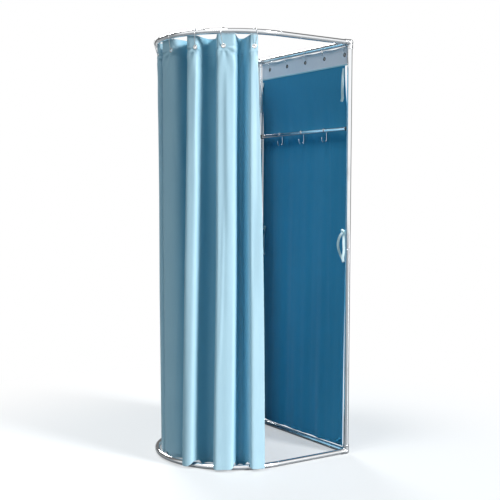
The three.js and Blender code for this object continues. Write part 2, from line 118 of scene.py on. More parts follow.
class Wire:
    """An output socket of a node tree. Arithmetic on wires and numbers adds Math nodes."""
    __add__, __radd__ = operator("ADD")
    __sub__, __rsub__ = operator("SUBTRACT")
    __mul__, __rmul__ = operator("MULTIPLY")

    def __init__(self, tree, socket=None):
        self.tree, self.socket = tree, socket

    def node(self, kind, settings=None, sockets=None, output=0):
        """Adds a node: its settings first, then the values or wires of its sockets."""
        made = self.tree.nodes.new(kind)
        for name, value in (settings or {}).items():
            setattr(made, name, value)
        for name, value in (sockets or {}).items():
            if isinstance(value, Wire):
                self.tree.links.new(value.socket, made.inputs[name])
            else:
                made.inputs[name].default_value = value
        return Wire(self.tree, made.outputs[output] if made.outputs else None)

    def math(self, operation, *values):
        """A Math node's result for wires or numbers."""
        return self.node("ShaderNodeMath", {"operation": operation}, dict(enumerate(values)))

    def between(self, low, high):
        """0 where this is low, 1 where it is high, and a soft ramp between them."""
        settings = {"interpolation_type": "SMOOTHSTEP"}
        sockets = {"Value": self, "From Min": low, "From Max": high}
        return self.node("ShaderNodeMapRange", settings, sockets)

    def mix(self, first, second):
        """The first colour where this is 0, the second where it is 1."""
        sockets = {0: self, FIRST_COLOUR: first, SECOND_COLOUR: second}
        return self.node("ShaderNodeMix", {"data_type": "RGBA"}, sockets, MIXED_COLOUR)

    def noise(self, place, scale, detail=2.0, stretch=None):
        """Noise from 0 to 1 at a place, with features of about 1 / scale metres."""
        if stretch:
            place = self.node("ShaderNodeMapping", {}, {"Vector": place, "Scale": stretch})
        sockets = {"Vector": place, "Scale": scale, "Detail": detail}
        return self.node("ShaderNodeTexNoise", {}, sockets, "Fac")

    def bump(self, height, distance):
        """The normal of a surface raised by a height of 0 to 1 times a distance in metres."""
        return self.node("ShaderNodeBump", {}, {"Height": height, "Distance": distance})


def finish(name):
    """A new, empty material, and a wire from which its nodes are added."""
    material = bpy.data.materials.new(name)
    material.use_nodes = True
    material.node_tree.nodes.clear()
    return material, Wire(material.node_tree)


def surface(start, sockets):
    """Ends a material in a Principled shader with these sockets."""
    shader = start.node("ShaderNodeBsdfPrincipled", {}, sockets)
    start.node("ShaderNodeOutputMaterial", {}, {"Surface": shader})


def plated(name, bright, dull, roughness, grain=DRAWN_DEPTH):
    """Plated metal: bright, with faint smears of handling and the drawing lines of the metal under it."""
    material, start = finish(name)
    smooth, rough = roughness
    place = start.node("ShaderNodeTexCoord", {}, {}, "Object")
    smear = start.noise(place, SMEARS, 4).between(SMEAR_FROM, SMEAR_TO)
    lines = start.noise(place, DRAWN_LINES, 2, DRAWN_STRETCH)
    surface(start, {
        "Base Color": (smear * SMEAR_SHARE).mix(bright, dull),
        "Metallic": 1.0,
        "Roughness": smooth + (rough - smooth) * smear + lines * DRAWN_ROUGH,
        "Normal": start.bump(lines, grain),
    })
    return material


def new_tree(name, inputs):
    """A Geometry Nodes tree with a mesh and named inputs, and wires for each of them."""
    tree = bpy.data.node_groups.new(name, "GeometryNodeTree")
    tree.interface.new_socket("Mesh", in_out="INPUT", socket_type="NodeSocketGeometry")
    for label, kind in inputs.items():
        tree.interface.new_socket(label, in_out="INPUT", socket_type="NodeSocket" + kind)
    tree.interface.new_socket("Mesh", in_out="OUTPUT", socket_type="NodeSocketGeometry")
    entry = tree.nodes.new("NodeGroupInput")
    return tree, {socket.name: Wire(tree, socket) for socket in entry.outputs if socket.name}


def end_tree(result, material):
    """Ends a Geometry Nodes tree: instances made real, smooth shading and the material."""
    real = result.node("GeometryNodeRealizeInstances", {}, {"Geometry": result})
    smooth = result.node("GeometryNodeSetShadeSmooth", {}, {"Geometry": real})
    sockets = {"Geometry": smooth, "Material": material}
    finished = result.node("GeometryNodeSetMaterial", {}, sockets)
    result.node("NodeGroupOutput", {}, {0: finished})


def apply_modifiers(piece):
    """Keeps what a piece's modifiers make as its mesh."""
    bpy.context.view_layer.update()
    graph = bpy.context.evaluated_depsgraph_get()
    made = bpy.data.meshes.new_from_object(piece.evaluated_get(graph))
    piece.modifiers.clear()
    piece.data = made


def grow(name, mesh, tree, **values):
    """Runs a Geometry Nodes tree on a mesh and keeps what it makes as a plain piece."""
    piece = bpy.data.objects.new(name, mesh)
    bpy.context.scene.collection.objects.link(piece)
    modifier = piece.modifiers.new(tree.name, "NODES")
    modifier.node_group = tree
    for item in tree.interface.items_tree:
        if item.in_out == "INPUT" and item.name in values:
            modifier[item.identifier] = values[item.name]
    apply_modifiers(piece)
    return piece


def line_mesh(points, closed=False, **attributes):
    """Points joined by edges, with a number or a vector at each of them under each attribute's name."""
    mesh = bpy.data.meshes.new("line")
    edges = [(i, i + 1) for i in range(len(points) - 1)]
    if closed:
        edges.append((len(points) - 1, 0))
    mesh.from_pydata([tuple(point) for point in points], edges, [])
    add_attributes(mesh, attributes)
    return mesh


def add_attributes(mesh, attributes):
    """Stores a number or a vector at each point of a mesh under each attribute's name."""
    for label, values in attributes.items():
        flat = np.array([tuple(v) if hasattr(v, "__len__") else v for v in values], np.float32)
        kind, field = ("FLOAT", "value") if flat.ndim == 1 else ("FLOAT_VECTOR", "vector")
        mesh.attributes.new(label, kind, "POINT").data.foreach_set(field, flat.ravel())


def swept_tree():
    """A round bar swept along a line. The line's attribute girth gives its share of the radius."""
    inputs = {"Radius": "Float", "Sides": "Int", "Material": "Material"}
    tree, entry = new_tree("swept_round_bar", inputs)
    line = entry["Mesh"].node("GeometryNodeMeshToCurve", {}, {"Mesh": entry["Mesh"]})
    circle = {"Resolution": entry["Sides"], "Radius": entry["Radius"]}
    section = line.node("GeometryNodeCurvePrimitiveCircle", {}, circle)
    girth = line.node("GeometryNodeInputNamedAttribute", {"data_type": "FLOAT"}, {"Name": "girth"})
    sockets = {"Curve": line, "Profile Curve": section, "Scale": girth, "Fill Caps": True}
    end_tree(line.node("GeometryNodeCurveToMesh", {}, sockets), entry["Material"])
    return tree


swept = swept_tree()
chrome = plated("chrome_plate", CHROME, CHROME_DULL, CHROME_ROUGH)


def tube_line(points, joints=()):
    """A tube's middle line with its girth, rolled in where lengths of tube are swaged together."""
    kept, girths = [], []
    for i, point in enumerate(points):
        if i in joints:
            along = (points[i + 1] - points[i - 1]).normalized()
            for shift, girth in ((-2, 1), (-1, 1 - SWAGE_DEPTH), (1, 1 - SWAGE_DEPTH), (2, 1)):
                kept.append(point + along * shift * SWAGE_HALF / 2)
                girths.append(girth)
        else:
            kept.append(point)
            girths.append(1)
    return line_mesh(kept, girth=girths)


def tube(node, points, joints=()):
    """A chrome tube in place of the frame's node."""
    piece = grow(node + "_tube", tube_line(points, joints), swept,
                 Radius=tube_radius, Sides=RAIL_SIDES, Material=chrome)
    piece.data.set_sharp_from_angle(angle=math.radians(TUBE_SHARP))
    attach(piece, "frame")
    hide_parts(node)


post_left, post_right = (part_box(side + "_post") for side in ("left", "right"))
top_low, top_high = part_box("top_rail")
base_low, base_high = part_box("base_rail")
tube_radius = (top_high.z - top_low.z) / 2
base_z = (base_low.z + base_high.z) / 2
top_z = (top_low.z + top_high.z) / 2
wall_y = (post_right[0].y + post_right[1].y) / 2
left_x = (post_left[0].x + post_left[1].x) / 2
right_x = (post_right[0].x + post_right[1].x) / 2
middle_x = (left_x + right_x) / 2
bend_radius = (right_x - left_x) / 2
bend_length = math.pi * bend_radius
bend_y = top_low.y + tube_radius + bend_radius


def rail_place(distance, offset=0.0):
    """A point on the rail and the direction out of the booth there. The distance starts where the
    bend starts on the open side, and the offset is outward of the rail's middle line."""
    turn = np.clip(distance, 0, bend_length) / bend_radius
    out_x, out_y = np.cos(turn), -np.sin(turn)
    x = middle_x + out_x * (bend_radius + offset)
    y = bend_y + out_y * (bend_radius + offset)
    y = y + np.maximum(-distance, 0) + np.maximum(distance - bend_length, 0)
    return x, y, out_x, out_y


for node, height in (("base_rail", base_z), ("top_rail", top_z)):
    end_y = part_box(node)[1].y
    turns = [bend_length * i / RAIL_STEPS for i in range(RAIL_STEPS + 1)]
    bend = [Vector((*rail_place(turn)[:2], height)) for turn in turns]
    rail = [Vector((right_x, end_y, height)), *bend, Vector((left_x, end_y, height))]
    tube(node, rail, (1, RAIL_STEPS // 2 + 1, RAIL_STEPS + 1))
for node, height in (("base_wall_rail", base_z), ("top_wall_rail", top_z)):
    low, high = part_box(node)
    tube(node, [Vector((x, wall_y, height)) for x in (low.x, middle_x, high.x)], (1,))
for node, x in (("left_post", left_x), ("right_post", right_x)):
    low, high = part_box(node)
    heights = low.z, (low.z + high.z) / 2, high.z
    tube(node, [Vector((x, wall_y, z)) for z in heights], (1,))

# Corner fittings: three sleeves that meet in a ball, cast in one piece, tumbled and plated. Each sleeve
# takes a tube's end, which a grub screw with a hexagon socket holds.
SLEEVE_RADIUS = 0.0145
BALL_RADIUS = 0.0155
SOCKET_FLOOR = 0.0155
SOCKET_CLEARANCE = 0.0003
CAST_VOXEL = 0.0010
CAST_SIDES = 48
CAST_SHARP = 50
TUMBLED = 0.5, 3        # how much the casting is smoothed, and how many times
SCREW_RADIUS = 0.0030
SCREW_HEIGHT = 0.0012
SCREW_REACH = 0.024     # from the corner point along the sleeve
SCREW_SIDES = 24
SCREW_SHARP = 30
SAME_POINT = 1e-7       # points closer than this are one
CAST = (0.72, 0.735, 0.75, 1)
CAST_DULL = (0.50, 0.52, 0.54, 1)
CAST_ROUGH = 0.2, 0.34
CAST_GRAIN = 0.0002
SCREW_STEEL = (0.16, 0.165, 0.175, 1)
SCREW_DULL = (0.08, 0.08, 0.085, 1)
SCREW_ROUGH = 0.35, 0.5

cast = plated("cast_plate", CAST, CAST_DULL, CAST_ROUGH, CAST_GRAIN)
screw_steel = plated("blackened_steel", SCREW_STEEL, SCREW_DULL, SCREW_ROUGH)


def round_bar(start, end, radius, sides=CAST_SIDES):
    """A closed cylinder between two points."""
    axis = end - start
    work = bmesh.new()
    turn = axis.to_track_quat("Z", "Y").to_matrix().to_4x4()
    bmesh.ops.create_cone(work, cap_ends=True, segments=sides, radius1=radius, radius2=radius,
                          depth=axis.length, matrix=Matrix.Translation((start + end) / 2) @ turn)
    return from_bmesh("bar", work)


def from_bmesh(name, work):
    """A mesh object from a bmesh, which is freed."""
    mesh = bpy.data.meshes.new(name)
    work.to_mesh(mesh)
    work.free()
    piece = bpy.data.objects.new(name, mesh)
    bpy.context.scene.collection.objects.link(piece)
    return piece


def combine(piece, other, operation):
    """Joins another closed piece to this one, or cuts it out, and deletes it."""
    modifier = piece.modifiers.new("combine", "BOOLEAN")
    modifier.operation, modifier.solver, modifier.object = operation, "EXACT", other
    apply_modifiers(piece)
    bpy.data.objects.remove(other)


def clear_below(piece, height):
    """Cuts a piece off flat at a height and closes it there."""
    work = bmesh.new()
    work.from_mesh(piece.data)
    everything = work.verts[:] + work.edges[:] + work.faces[:]
    cut = bmesh.ops.bisect_plane(work, geom=everything, plane_co=(0, 0, height),
                                 plane_no=(0, 0, 1), clear_inner=True)
    rim = [part for part in cut["geom_cut"] if isinstance(part, bmesh.types.BMEdge)]
    bmesh.ops.holes_fill(work, edges=rim)
    work.to_mesh(piece.data)
    work.free()


screw_places, screw_turns = [], []
for side, sign, x in (("left", -1, left_x), ("right", 1, right_x)):
    for level, rise, z in (("base", 1, base_z), ("top", -1, top_z)):
        node = f"{level}_corner_{side}"
        low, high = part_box(node)
        reach = high.y - low.y - BALL_RADIUS
        corner = Vector((x, wall_y, z))
        arms = [Vector((0, 0, rise)), Vector((0, -1, 0)), Vector((-sign, 0, 0))]
        work = bmesh.new()
        bmesh.ops.create_uvsphere(work, u_segments=CAST_SIDES, v_segments=CAST_SIDES // 2,
                                  radius=BALL_RADIUS, matrix=Matrix.Translation(corner))
        fitting = from_bmesh(node + "_casting", work)
        for arm in arms:
            combine(fitting, round_bar(corner, corner + arm * reach, SLEEVE_RADIUS), "UNION")
        for arm in arms:
            socket = round_bar(corner + arm * SOCKET_FLOOR, corner + arm * 2 * reach,
                               tube_radius + SOCKET_CLEARANCE)
            combine(fitting, socket, "DIFFERENCE")
        remesh = fitting.modifiers.new("cast", "REMESH")
        remesh.mode, remesh.voxel_size = "VOXEL", CAST_VOXEL
        tumble = fitting.modifiers.new("tumble", "SMOOTH")
        tumble.factor, tumble.iterations = TUMBLED
        apply_modifiers(fitting)
        if level == "base":
            clear_below(fitting, 0)
        fitting.data.shade_smooth()
        fitting.data.set_sharp_from_angle(angle=math.radians(CAST_SHARP))
        fitting.data.materials.clear()
        fitting.data.materials.append(cast)
        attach(fitting, "frame")
        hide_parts(node)
        outward = Vector((sign, 0, 0)), Vector((sign, 0, 0)), Vector((0, 1, 0))
        for arm, face in zip(arms, outward):
            screw_places.append(corner + arm * SCREW_REACH + face * SLEEVE_RADIUS)
            screw_turns.append(face.to_track_quat("Z", "Y").to_euler())


def set_tree():
    """Copies of a piece at a mesh's points, turned by their attribute turn, an Euler angle."""
    tree, entry = new_tree("pieces_set_in_place", {"Piece": "Object", "Material": "Material"})
    start = entry["Mesh"]
    piece = start.node("GeometryNodeObjectInfo", {}, {"Object": entry["Piece"]}, "Geometry")
    named = {"data_type": "FLOAT_VECTOR"}
    turn = start.node("GeometryNodeInputNamedAttribute", named, {"Name": "turn"})
    turn = start.node("FunctionNodeEulerToRotation", {}, {"Euler": turn})
    sockets = {"Points": start, "Instance": piece, "Rotation": turn}
    end_tree(start.node("GeometryNodeInstanceOnPoints", {}, sockets), entry["Material"])
    return tree


set_in_place = set_tree()


def copies(name, piece, places, turns, material):
    """A piece made of copies of another, one at each place, turned there by its Euler angles."""
    points = bpy.data.meshes.new(name)
    points.from_pydata([tuple(place) for place in places], [], [])
    add_attributes(points, {"turn": turns})
    return grow(name, points, set_in_place, Piece=piece, Material=material)


def turned(name, profile, sides):
    """A closed profile of (radius, height) points turned about the Z axis."""
    work = bmesh.new()
    rings = []
    for i in range(sides):
        turn = 2 * math.pi * i / sides
        rings.append([work.verts.new((r * math.cos(turn), r * math.sin(turn), z)) for r, z in profile])
    for i, ring in enumerate(rings):
        after = rings[(i + 1) % sides]
        for j in range(len(profile)):
            k = (j + 1) % len(profile)
            work.faces.new((ring[j], after[j], after[k], ring[k]))
    bmesh.ops.remove_doubles(work, verts=work.verts, dist=SAME_POINT)
    bmesh.ops.recalc_face_normals(work, faces=work.faces)
    for face in work.faces:
        face.smooth = True
    return from_bmesh(name, work)


def grub_screw():
    """A flush screw's head with its hexagon socket, its axis along Z and its seat at zero."""
    up = Vector((0, 0, SCREW_HEIGHT))
    screw = round_bar(-up, up / 2, SCREW_RADIUS, SCREW_SIDES)
    key = round_bar(Vector(), up, SCREW_RADIUS / 2, sides=6)
    combine(screw, key, "DIFFERENCE")
    return screw


pattern = grub_screw()
screws = copies("corner_grub_screws", pattern, screw_places, screw_turns, screw_steel)
screws.data.set_sharp_from_angle(angle=math.radians(SCREW_SHARP))
bpy.data.objects.remove(pattern)
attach(screws, "frame")

# Garment bar: a thinner chromed tube that carries the hooks, pushed into two moulded cups that clip
# round the posts. The cups are glass-filled nylon with a rounded mouth.
CUP_RADIUS = 0.012
CUP_EDGE = 0.0010
CUP_EDGE_STEPS = 5
CUP_CLEARANCE = 0.0003
CUP_FLOOR = 0.002
CUP_SIDES = 64
CUP_SHARP = 50
BAR_SIDES = 36
BAR_SHARP = 40
NYLON = (0.030, 0.034, 0.040, 1)
NYLON_WORN = (0.055, 0.060, 0.068, 1)
NYLON_ROUGH = 0.42
RUBBED = 90             # spots per metre
RUBBED_FROM, RUBBED_TO = 0.5, 0.75
SPARK_GRAIN = 1800      # per metre, from the mould
SPARK_DEPTH = 0.00006
SPARK_ROUGH = 0.18


def moulded(name, colour, worn):
    """Moulded nylon: dark, with a fine spark-eroded grain and rubbed spots."""
    material, start = finish(name)
    place = start.node("ShaderNodeTexCoord", {}, {}, "Object")
    grain = start.noise(place, SPARK_GRAIN, 2)
    rubbed = start.noise(place, RUBBED, 3).between(RUBBED_FROM, RUBBED_TO)
    surface(start, {
        "Base Color": rubbed.mix(colour, worn),
        "Roughness": NYLON_ROUGH + grain * SPARK_ROUGH,
        "Normal": start.bump(grain, SPARK_DEPTH),
    })
    return material


nylon = moulded("glass_filled_nylon", NYLON, NYLON_WORN)
bar_low, bar_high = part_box("garment_bar")
bar_radius = (bar_high.z - bar_low.z) / 2
bar_z = (bar_low.z + bar_high.z) / 2
bar_line = [Vector((x, wall_y, bar_z)) for x in (bar_low.x, middle_x, bar_high.x)]
bar = grow("garment_bar_tube", tube_line(bar_line), swept,
           Radius=bar_radius, Sides=BAR_SIDES, Material=chrome)
bar.data.set_sharp_from_angle(angle=math.radians(BAR_SHARP))
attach(bar, "frame")
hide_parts("garment_bar")


def bar_cup(node, sign, post_x):
    """A cup whose mouth faces the middle of the booth and whose back is hollowed to the post."""
    low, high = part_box(node)
    depth = post_x - low.x if sign > 0 else high.x - post_x
    bore = bar_radius + CUP_CLEARANCE
    floor = tube_radius + CUP_FLOOR
    outline = [(CUP_RADIUS, tube_radius), (CUP_RADIUS, depth - CUP_EDGE)]
    for i in range(1, CUP_EDGE_STEPS):
        turn = math.radians(90 * i / CUP_EDGE_STEPS)
        radius = CUP_RADIUS - CUP_EDGE * (1 - math.cos(turn))
        outline.append((radius, depth - CUP_EDGE * (1 - math.sin(turn))))
    outline += [(CUP_RADIUS - CUP_EDGE, depth), (bore + CUP_EDGE / 2, depth), (bore, depth - CUP_EDGE / 2),
                (bore, floor), (0, floor), (0, tube_radius)]
    cup = turned(node + "_moulding", outline, CUP_SIDES)
    for vertex in cup.data.vertices:
        across, level, reach = vertex.co
        if reach <= tube_radius:
            reach = math.sqrt(tube_radius ** 2 - min(across ** 2, tube_radius ** 2)) + CUP_CLEARANCE
        vertex.co = post_x - sign * reach, wall_y + across, bar_z + level
    work = bmesh.new()
    work.from_mesh(cup.data)
    bmesh.ops.recalc_face_normals(work, faces=work.faces)
    work.to_mesh(cup.data)
    work.free()
    cup.data.set_sharp_from_angle(angle=math.radians(CUP_SHARP))
    cup.data.materials.append(nylon)
    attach(cup, "frame")
    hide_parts(node)


bar_cup("bar_cup_left", -1, left_x)
bar_cup("bar_cup_right", 1, right_x)

# Garment hooks: each one length of spring wire bent in an S, a loop over the bar and a bowl below it.
# The wire is chromed after bending, and its cut ends are rounded.
HOOKS = 3
HOOK_WIRE = 0.002       # radius of the wire
HOOK_BOWL = 0.015       # radius of the bowl, to the middle of the wire
HOOK_DROP = 0.042       # bar's middle down to the bowl's
HOOK_TIP = 0.010
HOOK_CURL = 30          # degrees that the loop runs on under the bar
LOOP_STEPS, BOWL_STEPS, TIP_STEPS = 26, 24, 5
LEAST_GIRTH = 0.03      # share of the wire's radius at its very end
WIRE = (0.80, 0.81, 0.82, 1)
WIRE_DULL = (0.58, 0.60, 0.61, 1)
WIRE_ROUGH = 0.12, 0.24
WIRE_SIDES = 20

hook_wire = plated("chromed_wire", WIRE, WIRE_DULL, WIRE_ROUGH)


def arc(centre, across, radius, first, last, steps):
    """Points about a centre, in the upright plane of a direction, between two angles in degrees."""
    points = []
    for i in range(steps + 1):
        turn = math.radians(first + (last - first) * i / steps)
        points.append(centre + across * radius * math.cos(turn) + Vector((0, 0, radius * math.sin(turn))))
    return points


def rounded_ends(points, radius):
    """A wire's points with its ends drawn out into half balls, and the girth at each point."""
    start = (points[0] - points[1]).normalized()
    end = (points[-1] - points[-2]).normalized()
    shares = [math.sin(math.radians(90 * i / TIP_STEPS)) for i in range(1, TIP_STEPS + 1)]
    girths = [max(math.sqrt(1 - share ** 2), LEAST_GIRTH) for share in shares]
    head = [points[0] + start * radius * share for share in reversed(shares)]
    tail = [points[-1] + end * radius * share for share in shares]
    return head + points + tail, girths[::-1] + [1] * len(points) + girths


loop_radius = bar_radius + CUP_CLEARANCE + HOOK_WIRE
inward = Vector((0, -1, 0))
for i in range(HOOKS):
    node = f"garment_hook_{i + 1}"
    low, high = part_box(node)
    x = (low.x + high.x) / 2
    loop = arc(Vector((x, wall_y, bar_z)), inward, loop_radius, -HOOK_CURL, 180, LOOP_STEPS)
    bowl_centre = Vector((x, wall_y + loop_radius - HOOK_BOWL, bar_z - HOOK_DROP))
    bowl = arc(bowl_centre, inward, HOOK_BOWL, -180, 0, BOWL_STEPS)
    tip = bowl[-1] + Vector((0, 0, HOOK_TIP - HOOK_WIRE))
    points, girths = rounded_ends([*loop, *bowl, tip], HOOK_WIRE)
    hook = grow(node + "_wire", line_mesh(points, girth=girths), swept,
                Radius=HOOK_WIRE, Sides=WIRE_SIDES, Material=hook_wire)
    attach(hook, f"hook_{i + 1}")
    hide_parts(node)

# Curtain: one wide cloth of pale blue polyester satin, hemmed all round and hung from ten grommets.
# It falls in deep folds between them. The first crests hang outside the base rail, the rest inside it.
FOLD_RINGS = 10
CREST_REACH = (38, 38, 32, -20, -20, -20, -20, -20, -20, -20)   # outward of the rail at the hem, mm
RINGS_OUTSIDE = 3       # whose crests hang outside the base rail
# Each crest has a lobe on either side of its ring: how far from the ring towards the covered or the
# open side, and how far out of the line of rings it settles, in mm, as the crest's middle does.
LOBES_COVERED = ((18, 3), (30, 10), (44, 19), (80, 16), (30, 7), (24, 9), (34, 6), (20, 5), (26, 8), (0, 0))
LOBES_OPEN = ((0, 0), (52, 2), (5, 0), (20, -42), (24, 6), (30, 4), (20, 7), (24, 5), (18, 4), (22, 6))
MIDDLES = (0, 1, 0, -22, 2, 0, 2, 0, 1, 0)
LOBE_TOP = 0.3          # share of its reach that a lobe has under the rail
DEPTH_TOP = 0.076       # from a crest in to the bottom of a fold
DEPTH_HEM = 0.110
FLANK = 0.10            # share of a fold's width over which it goes in to half its depth
FOLD_SHARES = ((0.28, 0.94), (0.5, 1), (0.74, 0.93))    # of its width and depth, along its bottom
SWAY = 0.004            # of a lobe along the rail, on its way down
SWAY_FLANK, SWAY_DEPTH = 0.04, 0.06     # in shares of a fold's width and depth
SWAY_PACES = 2, 5       # radians that a sway takes from the rail to the hem
WAVE_STARTS = 0, 6      # radians at which a sway or a crease starts
SWAY_SEED = 11
SETTLE_PACE = 1.8       # a fold has settled after 1 / 1.8 of its fall
FOLD_ROUND = 0.0085     # how far round its bends a fold's line is smoothed, under the rail
FOLD_ROUND_HEM = 0.0150
TAPS = 12               # points on either side that are smoothed in, four to a FOLD_ROUND
LEAD_STEPS, FOLD_STEPS, TAIL_STEPS = 10, 120, 16    # in which the cloth's line is worked out
LEAD_COLUMNS, FOLD_COLUMNS, TAIL_COLUMNS = 6, 28, 8
NEAR_COLUMNS = (0, 1.3, 2.7, 4.1, 5.6, 7.2, 9.2)    # steps from a ring to the closest columns
UPRIGHT = 0.100         # height of the top part, which hangs plumb from the rings
TOP_GAP = 0.0012        # between the rail and the cloth's top edge
TOP_SAG = 0.008
HEM_LOW = 0.0105
HEM_OVER_RAIL = 0.033
RAIL_HALF = 0.0145      # on either side of the rail's middle, over which the hem passes above it
HEM_FALL, HEM_FALL_OUTSIDE = 0.005, 0.025   # width in which the hem comes down beside the rail
LEAD_MARGIN = 0.017     # first ring to the leading edge
LEAD_FLARE = 0.028      # how much further the leading edge reaches at the foot
FLARE_POWER = 2.5
LEAD_CURL, TAIL_CURL = 0.0015, -0.008       # how far out the edges lie at the hem
TAIL_MARGIN = 0.030
ROWS_UPRIGHT, ROWS_FINE, ROWS_BELOW = 26, 9, 86
ROW_LEAST = 0.0012      # between two rows
CLOTH = 0.0008
CLOTH_SHARP = 55
HEM_CLOTH = 0.0019
HEM_WIDTH = 0.022
SIDE_HEM = 0.014
TOP_HEM = 0.078
HOLE_RADIUS = 0.0060
HOLE_TRIM = 0.0006      # how far outside a hole's edge the cloth's points are removed
HOLE_PULL = 2.2         # radii of the hole, within which the cut edge is drawn in to it
HOLE_SPREAD = 0.0135    # half height of the close rows about the grommets
GROMMET_FLAT = 0.012    # radius within which a grommet's flanges hold the cloth flat
GROMMET_EASE = 0.012
PUCKERS = 9             # in a full turn round a grommet
PUCKER_RISE = 0.0016
PUCKER_FROM, PUCKER_GROW = 0.016, 0.02      # from a grommet's middle, and the way in which they grow
PUCKER_TO, PUCKER_FADE = 0.06, 0.13
PULL_REACH, PULL_DEPTH = 0.2, 0.03          # how far along and out of the cloth a grommet pulls
PULL_LEAST = 1e-6       # fall below a grommet from which a pucker's direction is worked out
CREASES = 110
CREASE_SEED = 5
CREASE_RISE = 0.0036
CREASE_LEAST = 0.3      # share of that rise
CREASE_WIDTHS = 0.006, 0.018
CREASE_LEAN = 0.05      # how far across it usually runs on its way down
CREASE_WANDER = 0.006
CREASE_WANDERS = 3, 8   # radians that it takes from top to foot
CREASE_SPAN = 0.03, 1.05    # shares of the way down between which it starts and ends
CREASE_FADE = 0.12
LEAST_NORMAL = 1e-9     # keeps the normal of a point without a face from dividing by nothing
FOLD_SHADE_PACE = 1.3         # the painted shade of the folds is full at 1 / 1.3 of a fold's depth
SATIN = (0.450, 0.660, 0.770, 1)
SATIN_WORN = (0.490, 0.700, 0.800, 1)
SATIN_PAINTED_SHADE = (0.250, 0.530, 0.680, 1)   # painted shade: the satin's colour deep in the folds, darker and bluer
# A weave: its ribs of thread in radians per metre, how deep they are in metres, the share of slubs in
# its tone, and its roughness.
SATIN_WEAVE = {"ribs": 5200, "depth": 0.00012, "streak": 0.5, "rough": 0.34}
SATIN_SHEEN = {"Specular IOR Level": 0.2, "Sheen Weight": 0.12, "Sheen Roughness": 0.4,
               "Sheen Tint": (0.85, 0.93, 1, 1)}
SLUBS = 240             # per metre across the warp
SLUB_STRETCH = (1, 0.06, 1)
SLUB_ROUGH = 0.14
SLUB_SHARE = 0.7        # of the relief; the ribs have the rest
PATCHES = 5             # per metre, of more or less worn cloth
TONE_FROM, TONE_TO = 0.3, 0.75
THREAD = (0.42, 0.66, 0.78, 1)
PLIES = 2600            # per metre, of the thread's twist
PLY_DEPTH = 0.0001
PLY_ROUGH, THREAD_ROUGH = 0.2, 0.6
STITCH_PITCH = 0.0050
STITCH_LENGTH = 0.0036
STITCH_RADIUS = 0.0004
STITCH_SIDES = 6
STITCH_IN = 0.003       # a hem's fold to its stitches

ring_places = []
for i in range(FOLD_RINGS):
    low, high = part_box(f"curtain_grommet_{i + 1}")
    ring_places.append((low + high) / 2)
ring_z = ring_places[0].z
ring_distances = []
for place in ring_places:
    if place.y > bend_y:
        ring_distances.append(bend_length + place.y - bend_y)
    else:
        ring_distances.append(bend_radius * math.atan2(bend_y - place.y, place.x - middle_x))
lead_edge = ring_distances[0] - LEAD_MARGIN
tail_edge = ring_distances[-1] + TAIL_MARGIN
cloth_top = top_z - tube_radius - TOP_GAP
upright_foot = top_z - tube_radius - UPRIGHT


def ease(share):
    """0 up to 0, 1 from 1 on, and a soft step between."""
    share = np.clip(share, 0, 1)
    return share * share * (3 - 2 * share)


def upright_rows():
    """Heights of the rows in the cloth's top part, from its top edge down, closer at the grommets."""
    heights = [*np.linspace(upright_foot, cloth_top, ROWS_UPRIGHT),
               *np.linspace(ring_z - HOLE_SPREAD, ring_z + HOLE_SPREAD, ROWS_FINE)]
    kept = [upright_foot]
    for height in sorted(heights):
        if kept[-1] + ROW_LEAST < height <= cloth_top:
            kept.append(height)
    kept[-1] = cloth_top
    return kept[::-1]


def unrolled(line):
    """The length along a line, or a row of a cloth, from its first point to each of its points."""
    steps = np.linalg.norm(np.diff(line, axis=0), axis=1)
    return np.concatenate([[0], np.cumsum(steps)])


def evenly(points, steps):
    """A bent line as points at even steps along it."""
    points = np.array(points, float)
    run = unrolled(points)
    places = np.linspace(0, run[-1], steps + 1)
    return np.stack([np.interp(places, run, axis) for axis in points.T], axis=1)


def smoothed(line, rounded):
    """A line with its bends rounded by a distance, between the same ends."""
    taps = np.arange(-TAPS, TAPS + 1) * FOLD_ROUND / 4
    weights = np.exp(-(taps / rounded) ** 2)
    weights /= weights.sum()
    padded = np.concatenate([np.repeat(line[:1], TAPS, axis=0), line, np.repeat(line[-1:], TAPS, axis=0)])
    smooth = np.stack([np.convolve(axis, weights, "valid") for axis in padded.T], axis=1)
    smooth[0], smooth[-1] = line[0], line[-1]
    return smooth


def fold_line(settle, sway):
    """The cloth's line from above at one height: its distance along the rail and its depth behind
    the crests, with the share of each fold's form that has settled and its sway there."""
    depth = DEPTH_TOP + (DEPTH_HEM - DEPTH_TOP) * settle
    lobe = (LOBE_TOP + (1 - LOBE_TOP) * settle) / 1000
    spans = [evenly([(lead_edge, LEAD_CURL * settle), (ring_distances[0], 0)], LEAD_STEPS)[:-1]]
    for i in range(FOLD_RINGS - 1):
        start, end = ring_distances[i], ring_distances[i + 1]
        (near, near_rise), (far, far_rise) = LOBES_COVERED[i], LOBES_OPEN[i + 1]
        near = start + near / 1000 + SWAY * sway[i]
        far = end - far / 1000 + SWAY * sway[i + 1]
        width = far - near
        flank = FLANK + SWAY_FLANK * sway[i]
        low = depth * (1 + SWAY_DEPTH * sway[i])
        bottom = [(near + across * width, -down * low) for across, down in FOLD_SHARES]
        spans.append(evenly([
            (start, MIDDLES[i] * settle / 1000), (near, near_rise * lobe),
            (near + flank * width, -low / 2), *bottom, (far - flank * width, -low / 2),
            (far, far_rise * lobe), (end, MIDDLES[i + 1] * settle / 1000)], FOLD_STEPS)[:-1])
    spans.append(evenly([(ring_distances[-1], 0), (tail_edge, TAIL_CURL * settle)], TAIL_STEPS))
    return smoothed(np.concatenate(spans), FOLD_ROUND + (FOLD_ROUND_HEM - FOLD_ROUND) * settle)


